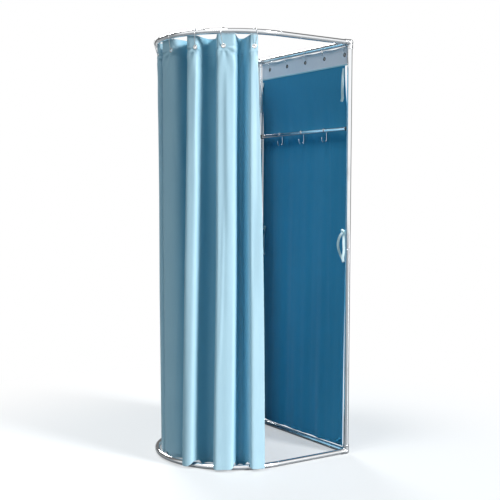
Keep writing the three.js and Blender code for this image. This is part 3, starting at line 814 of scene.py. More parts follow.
def fold_places():
    """Where the cloth's columns lie on a fold's line, in steps of that line from the leading edge."""
    near = np.array(NEAR_COLUMNS)
    inside = np.linspace(near[-1], FOLD_STEPS - near[-1], FOLD_COLUMNS)[1:-1]
    fold = np.concatenate([near, inside, FOLD_STEPS - near[::-1]])[:-1]
    columns = [np.linspace(0, LEAD_STEPS, LEAD_COLUMNS + 1)[:-1]]
    columns += [LEAD_STEPS + i * FOLD_STEPS + fold for i in range(FOLD_RINGS - 1)]
    tail = LEAD_STEPS + (FOLD_RINGS - 1) * FOLD_STEPS
    return np.concatenate([*columns, tail + np.linspace(0, TAIL_STEPS, TAIL_COLUMNS)])


def hem_level(along, offset):
    """Height of the curtain's hem: low beside the base rail and, where it crosses, over it."""
    first, last = ring_distances[RINGS_OUTSIDE - 1:RINGS_OUTSIDE + 1]
    outside = 1 - ease((along - first) / (last - first) * 2)
    over = 1 - ease((np.abs(offset) - RAIL_HALF) / (HEM_FALL + HEM_FALL_OUTSIDE * outside))
    return HEM_LOW + (HEM_OVER_RAIL - HEM_LOW) * over


def curtain_grid():
    """Points of the curtain, in rows from its top edge down, and how far out each is in its fold, which masks
    the painted shade there.
    """
    rng = np.random.default_rng(SWAY_SEED)
    pace, phase = rng.uniform(*SWAY_PACES, FOLD_RINGS), rng.uniform(*WAVE_STARTS, FOLD_RINGS)
    places = fold_places()
    reach = np.array(CREST_REACH) / 1000
    heights = [(z, 0.0) for z in upright_rows()]
    heights += [(None, (i + 1) / ROWS_BELOW) for i in range(ROWS_BELOW)]
    rows, crests = [], []
    for height, drop in heights:
        settle = ease(drop * SETTLE_PACE)
        line = fold_line(settle, np.sin(pace * drop + phase) * settle)
        along, depth = (np.interp(places, np.arange(len(line)), axis) for axis in line.T)
        lead = np.clip((ring_distances[0] - along) / LEAD_MARGIN, 0, 1)
        after = np.clip(np.searchsorted(ring_distances, along), 1, FOLD_RINGS - 1)
        first, last = (np.array(ring_distances)[after - back] for back in (1, 0))
        step = ease((along - first) / (last - first))
        offset = depth + drop * (reach[after - 1] + (reach[after] - reach[after - 1]) * step)
        if height is None:
            level = upright_foot + (hem_level(along, offset) - upright_foot) * drop
        else:
            valley = np.clip(-depth / DEPTH_TOP, 0, 1)
            level = height - TOP_SAG * valley * ease((height - upright_foot) / UPRIGHT)
        flare = LEAD_FLARE * (1 - (1 - drop) ** FLARE_POWER)
        x, y, _, _ = rail_place(along - flare * lead, offset)
        rows.append(np.stack([x, y, level], axis=1))
        # The mask of the painted shade: 1 on the crests, 0 deep in the folds.
        crests.append(1 - ease(-depth / DEPTH_TOP * FOLD_SHADE_PACE))
    return np.array(rows), np.array(crests)


def surface_normal(grid):
    """The direction square to a grid of points, at each of them."""
    normal = np.cross(np.gradient(grid, axis=1), np.gradient(grid, axis=0))
    return normal / np.maximum(np.linalg.norm(normal, axis=2, keepdims=True), LEAST_NORMAL)


def creased(grid, lengths, seed, count, rise):
    """Presses long soft creases into a grid of points, square to its surface."""
    rng = np.random.default_rng(seed)
    top, foot = grid[:, :, 2].max(), grid[:, :, 2].min()
    share = (top - grid[:, :, 2]) / (top - foot)
    height = np.zeros(share.shape)
    for _ in range(count):
        start = rng.uniform(0, lengths[-1])
        slope = rng.normal(0, CREASE_LEAN)
        width = rng.uniform(*CREASE_WIDTHS)
        size = rng.uniform(CREASE_LEAST * rise, rise) * rng.choice((-1, 1))
        high, low = sorted(rng.uniform(*CREASE_SPAN, 2))
        wander = CREASE_WANDER * np.sin(share * rng.uniform(*CREASE_WANDERS) + rng.uniform(*WAVE_STARTS))
        middle = start + slope * (share - high) + wander
        fade = ease((share - high) / CREASE_FADE) * (1 - ease((share - low) / CREASE_FADE))
        height += size * fade * np.exp(-((lengths[None, :] - middle) / width) ** 2)
    return grid + surface_normal(grid) * height[:, :, None]


def puckered(grid):
    """Draws the cloth flat at each grommet and puckers it in a fan below."""
    normal = surface_normal(grid)
    for i, place in enumerate(ring_places):
        away = grid - np.array(place)
        _, _, out_x, out_y = rail_place(np.array(ring_distances[i]))
        side = away[:, :, 0] * -out_y + away[:, :, 1] * out_x
        fall = -away[:, :, 2]
        out = away[:, :, 0] * out_x + away[:, :, 1] * out_y
        reach = np.hypot(side, fall)
        near = (np.abs(out) < PULL_DEPTH) & (reach < PULL_REACH)
        fan = np.cos(PUCKERS * np.arctan2(side, np.maximum(fall, PULL_LEAST)) + i)
        grown = ease((reach - PUCKER_FROM) / PUCKER_GROW)
        faded = ease((reach - PUCKER_TO) / PUCKER_FADE)
        ripple = np.where(near & (fall > 0), fan * (PUCKER_RISE * grown * (1 - faded)), 0)
        grid = grid + normal * ripple[:, :, None]
        flat = (1 - ease((reach - GROMMET_FLAT) / GROMMET_EASE)) * near
        grid = grid - (flat * out)[:, :, None] * np.array([float(out_x), float(out_y), 0])
    return grid


def cloth_mesh(name, grid, lengths, falls, holes=(), hole_radius=0.0, crests=None):
    """A cloth from a grid of points, with its own UV map in metres and round holes cut in it.
    Its attribute crest is 1 out on the crests and 0 deep in the folds, where it masks painted shade."""
    count_down, count_across = grid.shape[:2]
    index = np.arange(count_down * count_across).reshape(count_down, count_across)
    a, b = index[:-1, :-1].ravel(), index[1:, :-1].ravel()
    c, d = index[1:, 1:].ravel(), index[:-1, 1:].ravel()
    mesh = bpy.data.meshes.new(name)
    mesh.from_pydata(grid.reshape(-1, 3).tolist(), [], np.stack([a, b, c, d], axis=1).tolist())
    flat = np.stack(np.broadcast_arrays(lengths[None, :], falls), axis=2).reshape(-1, 2)
    corners = np.empty(len(mesh.loops), np.int32)
    mesh.loops.foreach_get("vertex_index", corners)
    mesh.uv_layers.new(name="cut").uv.foreach_set("vector", flat[corners].astype(np.float32).ravel())
    mesh.shade_smooth()
    crest = np.broadcast_to(1.0 if crests is None else crests, index.shape)
    add_attributes(mesh, {"crest": crest.ravel()})
    piece = bpy.data.objects.new(name, mesh)
    bpy.context.scene.collection.objects.link(piece)
    work = bmesh.new()
    work.from_mesh(mesh)
    for hole in holes:
        inside = [v for v in work.verts if (v.co - hole).length < hole_radius + HOLE_TRIM]
        bmesh.ops.delete(work, geom=inside, context="VERTS")
        for v in work.verts:
            if v.is_boundary and (v.co - hole).length < hole_radius * HOLE_PULL:
                v.co = hole + (v.co - hole).normalized() * hole_radius
    work.to_mesh(mesh)
    work.free()
    return piece


def thicken(piece, thin, thick, in_hem):
    """Gives a cloth its thickness, with more where it is folded into a hem. The test takes a
    point's place on the cut cloth."""
    group = piece.vertex_groups.new(name="hem")
    uvs, share = piece.data.uv_layers["cut"].uv, {}
    for loop in piece.data.loops:
        share[loop.vertex_index] = 1.0 if in_hem(*uvs[loop.index].vector) else thin / thick
    for index, value in share.items():
        group.add([index], value, "REPLACE")
    wall = piece.modifiers.new("thickness", "SOLIDIFY")
    wall.thickness, wall.offset, wall.vertex_group = thick, 0, "hem"
    wall.use_even_offset = False
    apply_modifiers(piece)
    piece.vertex_groups.clear()
    piece.data.set_sharp_from_angle(angle=math.radians(CLOTH_SHARP))


def woven(name, colour, worn, shade_colour, weave, sheen):
    """Woven cloth on its own cut: thread ribs, slubs along the warp, and a shade colour painted into its
    folds.
    """
    material, start = finish(name)
    cut = start.node("ShaderNodeUVMap", {"uv_map": "cut"})
    slub = start.noise(cut, SLUBS, 3, SLUB_STRETCH)
    patch = start.noise(cut, PATCHES, 3)
    warp, weft = (start.node("ShaderNodeSeparateXYZ", {}, {0: cut}, axis) for axis in ("X", "Y"))
    ribs = start.math("SINE", warp * weave["ribs"]) * start.math("SINE", weft * weave["ribs"])
    tone = (slub * weave["streak"] + patch * (1 - weave["streak"])).between(TONE_FROM, TONE_TO)
    # Painted shade: the colour goes to the shade colour where the attribute crest is low, deep in the folds.
    crest = start.node("ShaderNodeAttribute", {"attribute_name": "crest"}, {}, "Fac")
    surface(start, {
        "Base Color": crest.mix(shade_colour, tone.mix(colour, worn)),
        "Roughness": weave["rough"] + slub * SLUB_ROUGH,
        "Normal": start.bump(ribs * (1 - SLUB_SHARE) + slub * SLUB_SHARE, weave["depth"]),
        **sheen,
    })
    return material


def stitch_tree():
    """Stitches along a line: a short rounded bar at each step, lying along it on the cloth."""
    inputs = {"Pitch": "Float", "Length": "Float", "Radius": "Float", "Material": "Material"}
    tree, entry = new_tree("stitches", inputs)
    line = entry["Mesh"].node("GeometryNodeMeshToCurve", {}, {"Mesh": entry["Mesh"]})
    sockets = {"Curve": line, "Length": entry["Pitch"]}
    even = line.node("GeometryNodeResampleCurve", {"mode": "LENGTH"}, sockets)
    sockets = {"Vertices": STITCH_SIDES, "Side Segments": 1, "Fill Segments": 1,
               "Radius": entry["Radius"], "Depth": entry["Length"]}
    bar = line.node("GeometryNodeMeshCylinder", {}, sockets)
    tangent = line.node("GeometryNodeInputTangent")
    turn = line.node("FunctionNodeAlignRotationToVector", {"axis": "Z"}, {"Vector": tangent})
    sockets = {"Points": even, "Instance": bar, "Rotation": turn}
    end_tree(line.node("GeometryNodeInstanceOnPoints", {}, sockets), entry["Material"])
    return tree


def lines_mesh(lines):
    """Several lines of points as one mesh of edges."""
    mesh = bpy.data.meshes.new("lines")
    points, edges = [], []
    for line in lines:
        edges += [(len(points) + i, len(points) + i + 1) for i in range(len(line) - 1)]
        points += [tuple(point) for point in line]
    mesh.from_pydata(points, edges, [])
    return mesh


def thread(name, colour):
    """Spun polyester thread with its twist."""
    material, start = finish(name)
    place = start.node("ShaderNodeTexCoord", {}, {}, "Object")
    ply = start.noise(place, PLIES, 1)
    surface(start, {
        "Base Color": colour,
        "Roughness": THREAD_ROUGH + ply * PLY_ROUGH,
        "Normal": start.bump(ply, PLY_DEPTH),
    })
    return material


satin = woven("polyester_satin", SATIN, SATIN_WORN, SATIN_PAINTED_SHADE, SATIN_WEAVE, SATIN_SHEEN)
sewn = stitch_tree()
# The curtain's points, and the mask of the painted shade in its folds.
cloth_grid, cloth_shade_mask = curtain_grid()
cloth_lengths = unrolled(cloth_grid[len(cloth_grid) // 2])
cloth_width = float(cloth_lengths[-1])
cloth_grid = puckered(creased(cloth_grid, cloth_lengths, CREASE_SEED, CREASES, CREASE_RISE))
curtain = cloth_mesh("curtain_cloth", cloth_grid, cloth_lengths, cloth_grid[:, :, 2],
                     ring_places, HOLE_RADIUS, cloth_shade_mask)


def curtain_hem(run, height):
    """Whether a place on the curtain's cut lies in one of its hems."""
    ends = min(height - HEM_OVER_RAIL - HEM_WIDTH, cloth_top - TOP_HEM - height)
    return ends < 0 or min(run, cloth_width - run) < SIDE_HEM


thicken(curtain, CLOTH, HEM_CLOTH, curtain_hem)
curtain.data.materials.append(satin)
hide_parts("curtain_lead", "curtain_gather", "curtain_side")


def inset(grid, turns, distance, lift):
    """A line on a cloth's face a distance in from one of its edges: the top edge, or for one, two
    or three turns the last side, the foot or the first side."""
    face = np.rot90(grid + surface_normal(grid) * lift, turns)
    step = np.linalg.norm(np.diff(face, axis=0), axis=2)
    run = np.concatenate([np.zeros((1, face.shape[1])), np.cumsum(step, axis=0)])
    return [[np.interp(distance, run[:, i], face[:, i, axis]) for axis in range(3)]
            for i in range(face.shape[1])]


def stitched(name, grid, insets, thick, material):
    """Stitches on both faces of a cloth, in from its top, last side, foot and first side."""
    seams = [inset(grid, turns, distance, side * (thick / 2 + STITCH_RADIUS / 3))
             for turns, distance in enumerate(insets) if distance for side in (-1, 1)]
    return grow(name, lines_mesh(seams), sewn, Pitch=STITCH_PITCH, Length=STITCH_LENGTH,
                Radius=STITCH_RADIUS, Material=material)


insets = [hem - STITCH_IN for hem in (TOP_HEM, SIDE_HEM, HEM_WIDTH, SIDE_HEM)]
curtain_stitches = stitched("curtain_stitches", cloth_grid, insets, HEM_CLOTH, thread("pale_thread", THREAD))
for piece in (curtain, curtain_stitches):
    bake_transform(piece)

# Curtain rings and grommets: each ring is spring wire bent into a long drop and closed in a crimped
# clasp. It runs on the top rail and through a two-part brass grommet, nickel plated and pressed.
# The rings that ride on each body.
RING_BODIES = {"curtain": (1, 2, 3, 4), "ring_5": (5,), "ring_6": (6,), "ring_7": (7,), "frame": (8, 9, 10)}
RING_WIRE = 0.0015      # radius of the wire
RING_TOP = 0.0225       # radius of the ring's top, to the middle of the wire
RING_FOOT = 0.008
RING_GAP = 0.0007       # between the rail and the ring that hangs on it
RING_FOOT_DROP = 0.0620     # rail's middle down to the ring's lowest place
RING_SWINGS = (24, -28, 20, 24, 16, -20, 12, -16, 14, -8)     # degrees that the rings are swung round
RING_TOP_STEPS, RING_FOOT_STEPS = 22, 14
RING_SIDES = 14
CLASP_HALF = 0.0035
CLASP_LIP = 1.05        # of that half, where the crimp ends
CLASP_GIRTH = 1.55
GROMMET_SIDES = 36
GROMMET_LINE = ((5.5, 1.2), (5.7, 1.9), (6.6, 2.3), (8.2, 2.2), (9.8, 1.8), (10.5, 1.3), (10.4, 1.05),
                (9.6, 1.0), (6.3, 1.0))     # half of its outline: radius and height, mm
STEEL = (0.74, 0.75, 0.76, 1)
STEEL_DULL = (0.50, 0.51, 0.52, 1)
STEEL_ROUGH = 0.16, 0.3
NICKEL = (0.80, 0.80, 0.79, 1)
NICKEL_DULL = (0.56, 0.56, 0.54, 1)
NICKEL_ROUGH = 0.16, 0.32

ring_steel = plated("bright_spring_wire", STEEL, STEEL_DULL, STEEL_ROUGH)
nickel = plated("nickel_plate", NICKEL, NICKEL_DULL, NICKEL_ROUGH)


def hanging_ring(wire, top_radius, foot_radius, foot_drop):
    """A ring of wire about the rail, in the plane of its local X and Z, as a pattern to copy."""
    across = Vector((1, 0, 0))
    top = Vector((0, 0, tube_radius + RING_GAP + wire - top_radius))
    foot = Vector((0, 0, foot_radius - foot_drop))
    lean = math.degrees(math.asin((top_radius - foot_radius) / (top.z - foot.z)))
    points = arc(top, across, top_radius, 180 + lean, -lean, RING_TOP_STEPS)
    points += arc(foot, across, foot_radius, -lean, lean - 180, RING_FOOT_STEPS)
    girths = [1] * len(points)
    clasp, along = (points[-1] + points[0]) / 2, (points[0] - points[-1]).normalized()
    for shift, girth in ((-CLASP_LIP, 1), (-1, CLASP_GIRTH), (1, CLASP_GIRTH), (CLASP_LIP, 1)):
        points.append(clasp + along * CLASP_HALF * shift)
        girths.append(girth)
    return grow("ring", line_mesh(points, closed=True, girth=girths), swept,
                Radius=wire, Sides=RING_SIDES, Material=ring_steel)


def pressed_grommet(half_outline):
    """A grommet with its axis along Z, as a pattern to copy."""
    upper = [(radius / 1000, height / 1000) for radius, height in half_outline]
    return turned("grommet", upper + [(radius, -height) for radius, height in reversed(upper)], GROMMET_SIDES)


def place_set(name, body, numbers, pattern, places, turns, material):
    """Copies of a ring or a grommet that ride on one body, in place of their nodes."""
    piece = copies(f"{name}s_{body}", pattern, places, turns, material)
    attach(piece, body)
    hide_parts(*(f"{name}_{number}" for number in numbers))
    return piece


ring_pattern = hanging_ring(RING_WIRE, RING_TOP, RING_FOOT, RING_FOOT_DROP)
grommet_pattern = pressed_grommet(GROMMET_LINE)
for body, numbers in RING_BODIES.items():
    places, headings, outward = [], [], []
    for number in numbers:
        place = ring_places[number - 1]
        out_x, out_y = rail_place(np.array(ring_distances[number - 1]))[2:]
        places.append(place)
        headings.append((0, 0, math.atan2(out_y, out_x) + math.radians(RING_SWINGS[number - 1])))
        outward.append(Vector((out_x, out_y, 0)).to_track_quat("Z", "Y").to_euler())
    on_rail = [Vector((*place.xy, top_z)) for place in places]
    place_set("curtain_ring", body, numbers, ring_pattern, on_rail, headings, ring_steel)
    place_set("curtain_grommet", body, numbers, grommet_pattern, places, outward,
                                      nickel)
for pattern in (ring_pattern, grommet_pattern):
    bpy.data.objects.remove(pattern)

# Back sheet: a long panel of deep blue polyester-cotton, hemmed, sewn under a doubled pale band that
# is edged with light blue tape. The band hangs from the wall rail by five rings in eyelets.
SHEET_CLOTH = 0.0009
SHEET_HEM_CLOTH = 0.0020
BAND_CLOTH = 0.0021
TAPE_CLOTH = 0.0032
TAPE_WIDTH = 0.006
SHEET_HEM = 0.024
SHEET_SIDE_HEM = 0.013
BAND_HEM = 0.010
BAND_BULGE = 0.004      # how far the band bows out between its eyelets
BULGE_PACE, BULGE_START = 2.3, 1        # radians from one eyelet to the next, and at the first
BAND_SAG = 0.0035
SHEET_FOOT = 0.0275     # height of the panel's lower edge, just over the rail
BAR_LEAN = 0.0187       # how far outside the rail's centre the sheet passes the bar
FOOT_LEAN = 0.006
EDGE_TUCK = 0.018       # how far the covered side's edge goes on behind the post
EDGE_SHARE = 0.10       # of the width, over which the panel bends out to it
EDGE_FLAT = 0.8         # share of its folds that it has lost at that edge
SHEET_WAVE = 0.0022     # of its folds at the bar
SHEET_WAVE_FOOT = 0.0070
# Each wave: its share of that, how many fit the width, where it starts and how it wanders lower down.
SHEET_WAVES = ((0.55, 3.4, 0.1, 1), (0.3, 6.1, 0.4, -2), (0.15, 10.3, 0, 3))
WAVE_WANDER = 0.35
SHEET_CREASES = 34
SHEET_CREASE_SEED = 8
SHEET_CREASE_RISE = 0.0009
SHEET_COLUMNS, SHEET_ROWS = 132, 128
BAND_COLUMNS, BAND_ROWS = 238, 30
EYELETS = 5
EYELET_HOLE = 0.0064
EYELET_LINE = ((3.8, 1.2), (4.0, 1.8), (5.4, 2.1), (7.9, 2.0), (9.2, 1.7), (9.7, 1.35), (9.6, 1.15),
               (9.0, 1.12), (6.0, 1.12))
# Painted shade: the eyelets are near black, standing in for the dark of their holes; the worn colour is their
# smears of handling.
EYELET_SHADE = (0.020, 0.021, 0.024, 1)
EYELET_SHADE_WORN = (0.060, 0.060, 0.064, 1)
EYELET_SHADE_ROUGH = 0.24, 0.42
SHEET_WIRE = 0.0012
SHEET_RING_TOP = 0.018
SHEET_RING_FOOT = 0.007
SHEET_FOOT_DROP = 0.0517
SHEET_SWINGS = (14, -10, 18, -16, 8)
DEEP_BLUE = (0.022, 0.270, 0.470, 1)
DEEP_BLUE_WORN = (0.030, 0.300, 0.510, 1)
BAND = (0.90, 0.86, 0.92, 1)
BAND_WORN = (0.94, 0.90, 0.95, 1)
TAPE = (0.36, 0.68, 0.76, 1)
TAPE_WORN = (0.42, 0.74, 0.80, 1)
SHEET_WEAVE = {"ribs": 3600, "depth": 0.00018, "streak": 0.6, "rough": 0.72}
BAND_WEAVE = {**SHEET_WEAVE, "rough": 0.70}
TAPE_WEAVE = {"ribs": 3000, "depth": 0.0002, "streak": 0.5, "rough": 0.55}
MATT_SHEEN = {"Sheen Weight": 0.15, "Sheen Roughness": 0.5, "IOR": 1.4}
BLUE_THREAD = (0.03, 0.17, 0.30, 1)
BAND_THREAD = (0.55, 0.59, 0.70, 1)

deep_blue = woven("deep_blue_cloth", DEEP_BLUE, DEEP_BLUE_WORN, DEEP_BLUE, SHEET_WEAVE, MATT_SHEEN)
band_cloth = woven("pale_band_cloth", BAND, BAND_WORN, BAND, BAND_WEAVE, MATT_SHEEN)
# The eyelets' metal, near black as painted shade of their holes.
eyelet_shade_metal = plated("eyelet_painted_shade", EYELET_SHADE, EYELET_SHADE_WORN, EYELET_SHADE_ROUGH)
tape_cloth = woven("edging_tape", TAPE, TAPE_WORN, TAPE, TAPE_WEAVE, MATT_SHEEN)
band_low, band_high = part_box("sheet_header")
sheet_low, sheet_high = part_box("back_sheet")
eyelet_places = []
for i in range(EYELETS):
    low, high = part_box(f"sheet_eyelet_{i + 1}")
    eyelet_places.append((low + high) / 2)
eyelet_x = np.array([place.x for place in eyelet_places])


def band_grid():
    """Points of the band, bowed out and sagging a little between its eyelets."""
    x = np.linspace(band_low.x, band_high.x, BAND_COLUMNS + 1)[None, :]
    z = np.linspace(band_high.z, band_low.z, BAND_ROWS + 1)[:, None]
    share = np.interp(x, eyelet_x, np.arange(EYELETS))
    between = np.sin(math.pi * share) ** 2
    high = ease((z - band_low.z) / (band_high.z - band_low.z))
    bulge = BAND_BULGE * between * high * np.sin(share * BULGE_PACE + BULGE_START)
    x, y, z = np.broadcast_arrays(x, wall_y + bulge, z - BAND_SAG * between * high)
    return np.stack([x, y, z], axis=2)


def sheet_grid():
    """Points of the panel, which passes outside the bar and comes back in to its hem."""
    x = np.linspace(sheet_low.x, sheet_high.x, SHEET_COLUMNS + 1)[None, :]
    z = np.linspace(sheet_high.z, SHEET_FOOT, SHEET_ROWS + 1)[:, None]
    passed = ease((sheet_high.z - z) / (sheet_high.z - bar_z))
    below = ease((bar_z - z) / (bar_z - SHEET_FOOT))
    place = (x - sheet_low.x) / (sheet_high.x - sheet_low.x)
    edge = 1 - ease(place / EDGE_SHARE)
    lean = BAR_LEAN * passed + (FOOT_LEAN - BAR_LEAN) * below * (1 - edge)
    wander = WAVE_WANDER * below
    wave = sum(share * np.sin(2 * math.pi * (count * place + start) + pace * wander)
               for share, count, start, pace in SHEET_WAVES)
    size = (SHEET_WAVE * passed + (SHEET_WAVE_FOOT - SHEET_WAVE) * below) * (1 - EDGE_FLAT * edge)
    x, y, z = np.broadcast_arrays(x - EDGE_TUCK * passed * edge, wall_y + lean + size * wave, z)
    return np.stack([x, y, z], axis=2)


grid = band_grid()
band_lengths = unrolled(grid[-1])
band = cloth_mesh("sheet_band", grid, band_lengths, grid[:, :, 2], eyelet_places, EYELET_HOLE)
thicken(band, BAND_CLOTH, TAPE_CLOTH, lambda run, height: height < band_low.z + TAPE_WIDTH)
band.data.materials.append(band_cloth)
band.data.materials.append(tape_cloth)
for face in band.data.polygons:
    face.material_index = int(face.center.z < band_low.z + TAPE_WIDTH)
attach(band, "frame")
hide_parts("sheet_header")
insets = BAND_HEM, BAND_HEM, TAPE_WIDTH - STITCH_IN / 2, BAND_HEM
band_stitches = stitched("sheet_band_stitches", grid, insets, BAND_CLOTH, thread("band_thread", BAND_THREAD))
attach(band_stitches, "frame")

panel_grid = sheet_grid()
sheet_lengths = unrolled(panel_grid[len(panel_grid) // 2])
sheet_width = float(sheet_lengths[-1])
panel_grid = creased(panel_grid, sheet_lengths, SHEET_CREASE_SEED, SHEET_CREASES, SHEET_CREASE_RISE)
panel = cloth_mesh("sheet_panel", panel_grid, sheet_lengths, panel_grid[:, :, 2])


def sheet_hem(run, height):
    """Whether a place on the panel's cut lies in one of its hems."""
    return height < SHEET_FOOT + SHEET_HEM or min(run, sheet_width - run) < SHEET_SIDE_HEM


thicken(panel, SHEET_CLOTH, SHEET_HEM_CLOTH, sheet_hem)
panel.data.materials.append(deep_blue)
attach(panel, "frame")
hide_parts("back_sheet")
insets = 0, *(hem - STITCH_IN for hem in (SHEET_SIDE_HEM, SHEET_HEM, SHEET_SIDE_HEM))
panel_stitches = stitched("sheet_panel_stitches", panel_grid, insets, SHEET_HEM_CLOTH,
                          thread("blue_thread", BLUE_THREAD))
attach(panel_stitches, "frame")

ring_pattern = hanging_ring(SHEET_WIRE, SHEET_RING_TOP, SHEET_RING_FOOT, SHEET_FOOT_DROP)
eyelet_pattern = pressed_grommet(EYELET_LINE)
numbers = range(1, EYELETS + 1)
on_rail = [Vector((place.x, wall_y, top_z)) for place in eyelet_places]
headings = [(0, 0, math.radians(90 + swing)) for swing in SHEET_SWINGS]
outward = [Vector((0, 1, 0)).to_track_quat("Z", "Y").to_euler()] * EYELETS
sheet_rings = place_set("sheet_ring", "frame", numbers, ring_pattern, on_rail, headings,
                        ring_steel)
sheet_eyelets = place_set("sheet_eyelet", "frame", numbers, eyelet_pattern, eyelet_places, outward,
                          eyelet_shade_metal)
for pattern in (ring_pattern, eyelet_pattern):
    bpy.data.objects.remove(pattern)

# Ribbon ties: pale blue satin ribbon sewn to the inner face of the panel at each edge, a loose end under
# the band and an open bow at waist height, and a knotted end of the panel's own cloth at the foot.
RIBBON_WIDTH = 0.012
RIBBON = 0.0005
RIBBON_STEPS = 60
RIBBON_COLUMNS = 5
CURVE_STEPS = 12        # from one place of a tie to the next, before it is evened out
RIBBON_SEAT = 0.0009    # between the sewn end and the panel
TIE_IN = 0.010          # panel's edge to the middle of a tie
TIE_APART = 1.6         # between a tie's lengths of ribbon at its sewn end, mm
TIE_ASIDE = 0.001       # between them sideways, mm, so that no two edges lie quite in one line
TWIST_PACE = 3          # a ribbon has its twist in the first third of its length
TOP_TWIST, BOW_TWIST, CORNER_TWIST = 60, 56, 20     # degrees
# Each length of a tie goes through places in mm: across the panel, into the booth and down from its seat.
PER_METRE = (1000, -1000, -1000)    # of them, along X, Y and Z
TOP_TIE = ((0, 0, 0), (0, 2, 30), (1, 5, 70), (3, 8, 110), (2, 6, 140), (0, 9, 160))
TAIL_TIE = ((0, 0, 0), (1, 3, 22), (4, 6, 60), (5, 5, 100), (3, 8, 130), (2, 7, 152))
BOW_TIE = ((0, 0, 0), (-1, 9, 6), (-2, 27, 30), (-3, 37, 58), (-2, 36, 86), (0, 25, 118), (1, 10, 142),
           (0, 5, 156))
KNOT_TIE = ((0, 0, 0), (-3, 6, -2), (-4, 9, 4), (-1, 7, 11), (3, 4, 9), (4, 8, 1), (1, 12, -1))
CORNER_TIE = ((0, 0, 0), (-1, 6, -3), (-3, 16, 2), (-4, 25, 10), (-2, 22, 18), (1, 12, 20), (2, 18, 27))
RIBBON_BLUE = (0.74, 0.95, 0.98, 1)
RIBBON_WORN = (0.80, 0.97, 0.99, 1)
RIBBON_WEAVE = {"ribs": 6000, "depth": 0.0001, "streak": 0.5, "rough": 0.35}
RIBBON_SHEEN = {"IOR": 1.6, "Sheen Weight": 0.1}

ribbon_satin = woven("satin_ribbon", RIBBON_BLUE, RIBBON_WORN, RIBBON_BLUE, RIBBON_WEAVE, RIBBON_SHEEN)


def curve_through(places):
    """A smooth line through places, in short steps."""
    places = np.array(places, float)
    ends = np.concatenate([[2 * places[0] - places[1]], places, [2 * places[-1] - places[-2]]])
    line = []
    for i in range(len(places) - 1):
        a, b, c, d = ends[i:i + 4]
        for t in np.linspace(0, 1, CURVE_STEPS, endpoint=False):
            line.append(0.5 * (2 * b + (c - a) * t + (2 * a - 5 * b + 4 * c - d) * t ** 2
                               + (3 * b - a - 3 * c + d) * t ** 3))
    return np.array([*line, places[-1]])


def ribbon(name, seat, places, twist, material):
    """A ribbon from its sewn seat through places, which turns about its own line by a twist in
    degrees, and its length."""
    curve = curve_through(places)
    run = np.linspace(0, unrolled(curve)[-1], RIBBON_STEPS + 1)
    points = np.array(seat) + evenly(curve, RIBBON_STEPS) / PER_METRE
    along = np.gradient(points, axis=0)
    along /= np.linalg.norm(along, axis=1, keepdims=True)
    across = np.cross(along, np.cross([1.0, 0, 0], along))
    across /= np.linalg.norm(across, axis=1, keepdims=True)
    turn = np.radians(twist) * ease(TWIST_PACE * run / run[-1])[:, None]
    across = across * np.cos(turn) + np.cross(along, across) * np.sin(turn)
    sides = np.linspace(-RIBBON_WIDTH / 2, RIBBON_WIDTH / 2, RIBBON_COLUMNS)
    grid = points[:, None, :] + across[:, None, :] * sides[None, :, None]
    piece = cloth_mesh(name, grid, sides, run[:, None] / 1000)
    thicken(piece, RIBBON, RIBBON, lambda run, height: True)
    piece.data.materials.append(material)
    return piece, float(run[-1]) / 1000


def join(piece, *others):
    """Joins other pieces into this one, each as a closed shell of its own."""
    with bpy.context.temp_override(active_object=piece, selected_editable_objects=[piece, *others]):
        bpy.ops.object.join()


ties = (("top", [TOP_TIE], TOP_TWIST, ribbon_satin),
        ("bow", [BOW_TIE, TAIL_TIE, KNOT_TIE], BOW_TWIST, ribbon_satin),
        ("corner", [CORNER_TIE, KNOT_TIE], CORNER_TWIST, deep_blue))
for side, sign, x in (("left", -1, sheet_low.x + TIE_IN), ("right", 1, sheet_high.x - TIE_IN)):
    column = np.abs(panel_grid[0, :, 0] - x).argmin()
    for kind, lines, twist, material in ties:
        node = f"{kind}_tie_{side}"
        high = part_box(node)[1].z
        row = np.abs(panel_grid[:, 0, 2] - high).argmin()
        seat = Vector((x, panel_grid[row, column, 1] - SHEET_HEM_CLOTH / 2 - RIBBON_SEAT, high))
        made, lengths = [], []
        for i, line in enumerate(lines):
            places = [(sign * along + TIE_ASIDE * i, into + TIE_APART * i, down)
                      for along, into, down in line]
            piece, length = ribbon(f"{node}_{i}", seat, places, -sign * twist, material)
            made.append(piece)
            lengths.append(length)
        tie, *others = made
        if others:
            join(tie, *others)
        tie.name = node + "_ribbon"
        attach(tie, "frame")
        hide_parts(node)

# Floor: a pale plain floor that takes the booth's shadow and fades to white a step away from it.
FLOOR_HALF = 30.0
FLOOR_ROUGH = 0.6
WHITE = (1, 1, 1, 1)
FLOOR = (0.80, 0.815, 0.83, 1)
FLOOR_BOUNCE = (0.14, 0.20, 0.22, 1)    # its colour to the light that it throws back up round the booth
FLOOR_MIRRORED = (0.26, 0.27, 0.28, 1)
INSIDE = (0.05, 0.17, 0)                # middle of the floor between the curtain and the sheet
INSIDE_FROM, INSIDE_TO = 0.22, 0.36     # from there, where the light that it throws back falls off
FADE_FROM, FADE_TO = 0.75, 2.3
LEAST_WHITE = 0.40      # share of white in what the camera sees of it at the booth

work = bmesh.new()
bmesh.ops.create_grid(work, x_segments=1, y_segments=1, size=FLOOR_HALF)
floor = from_bmesh("floor", work)


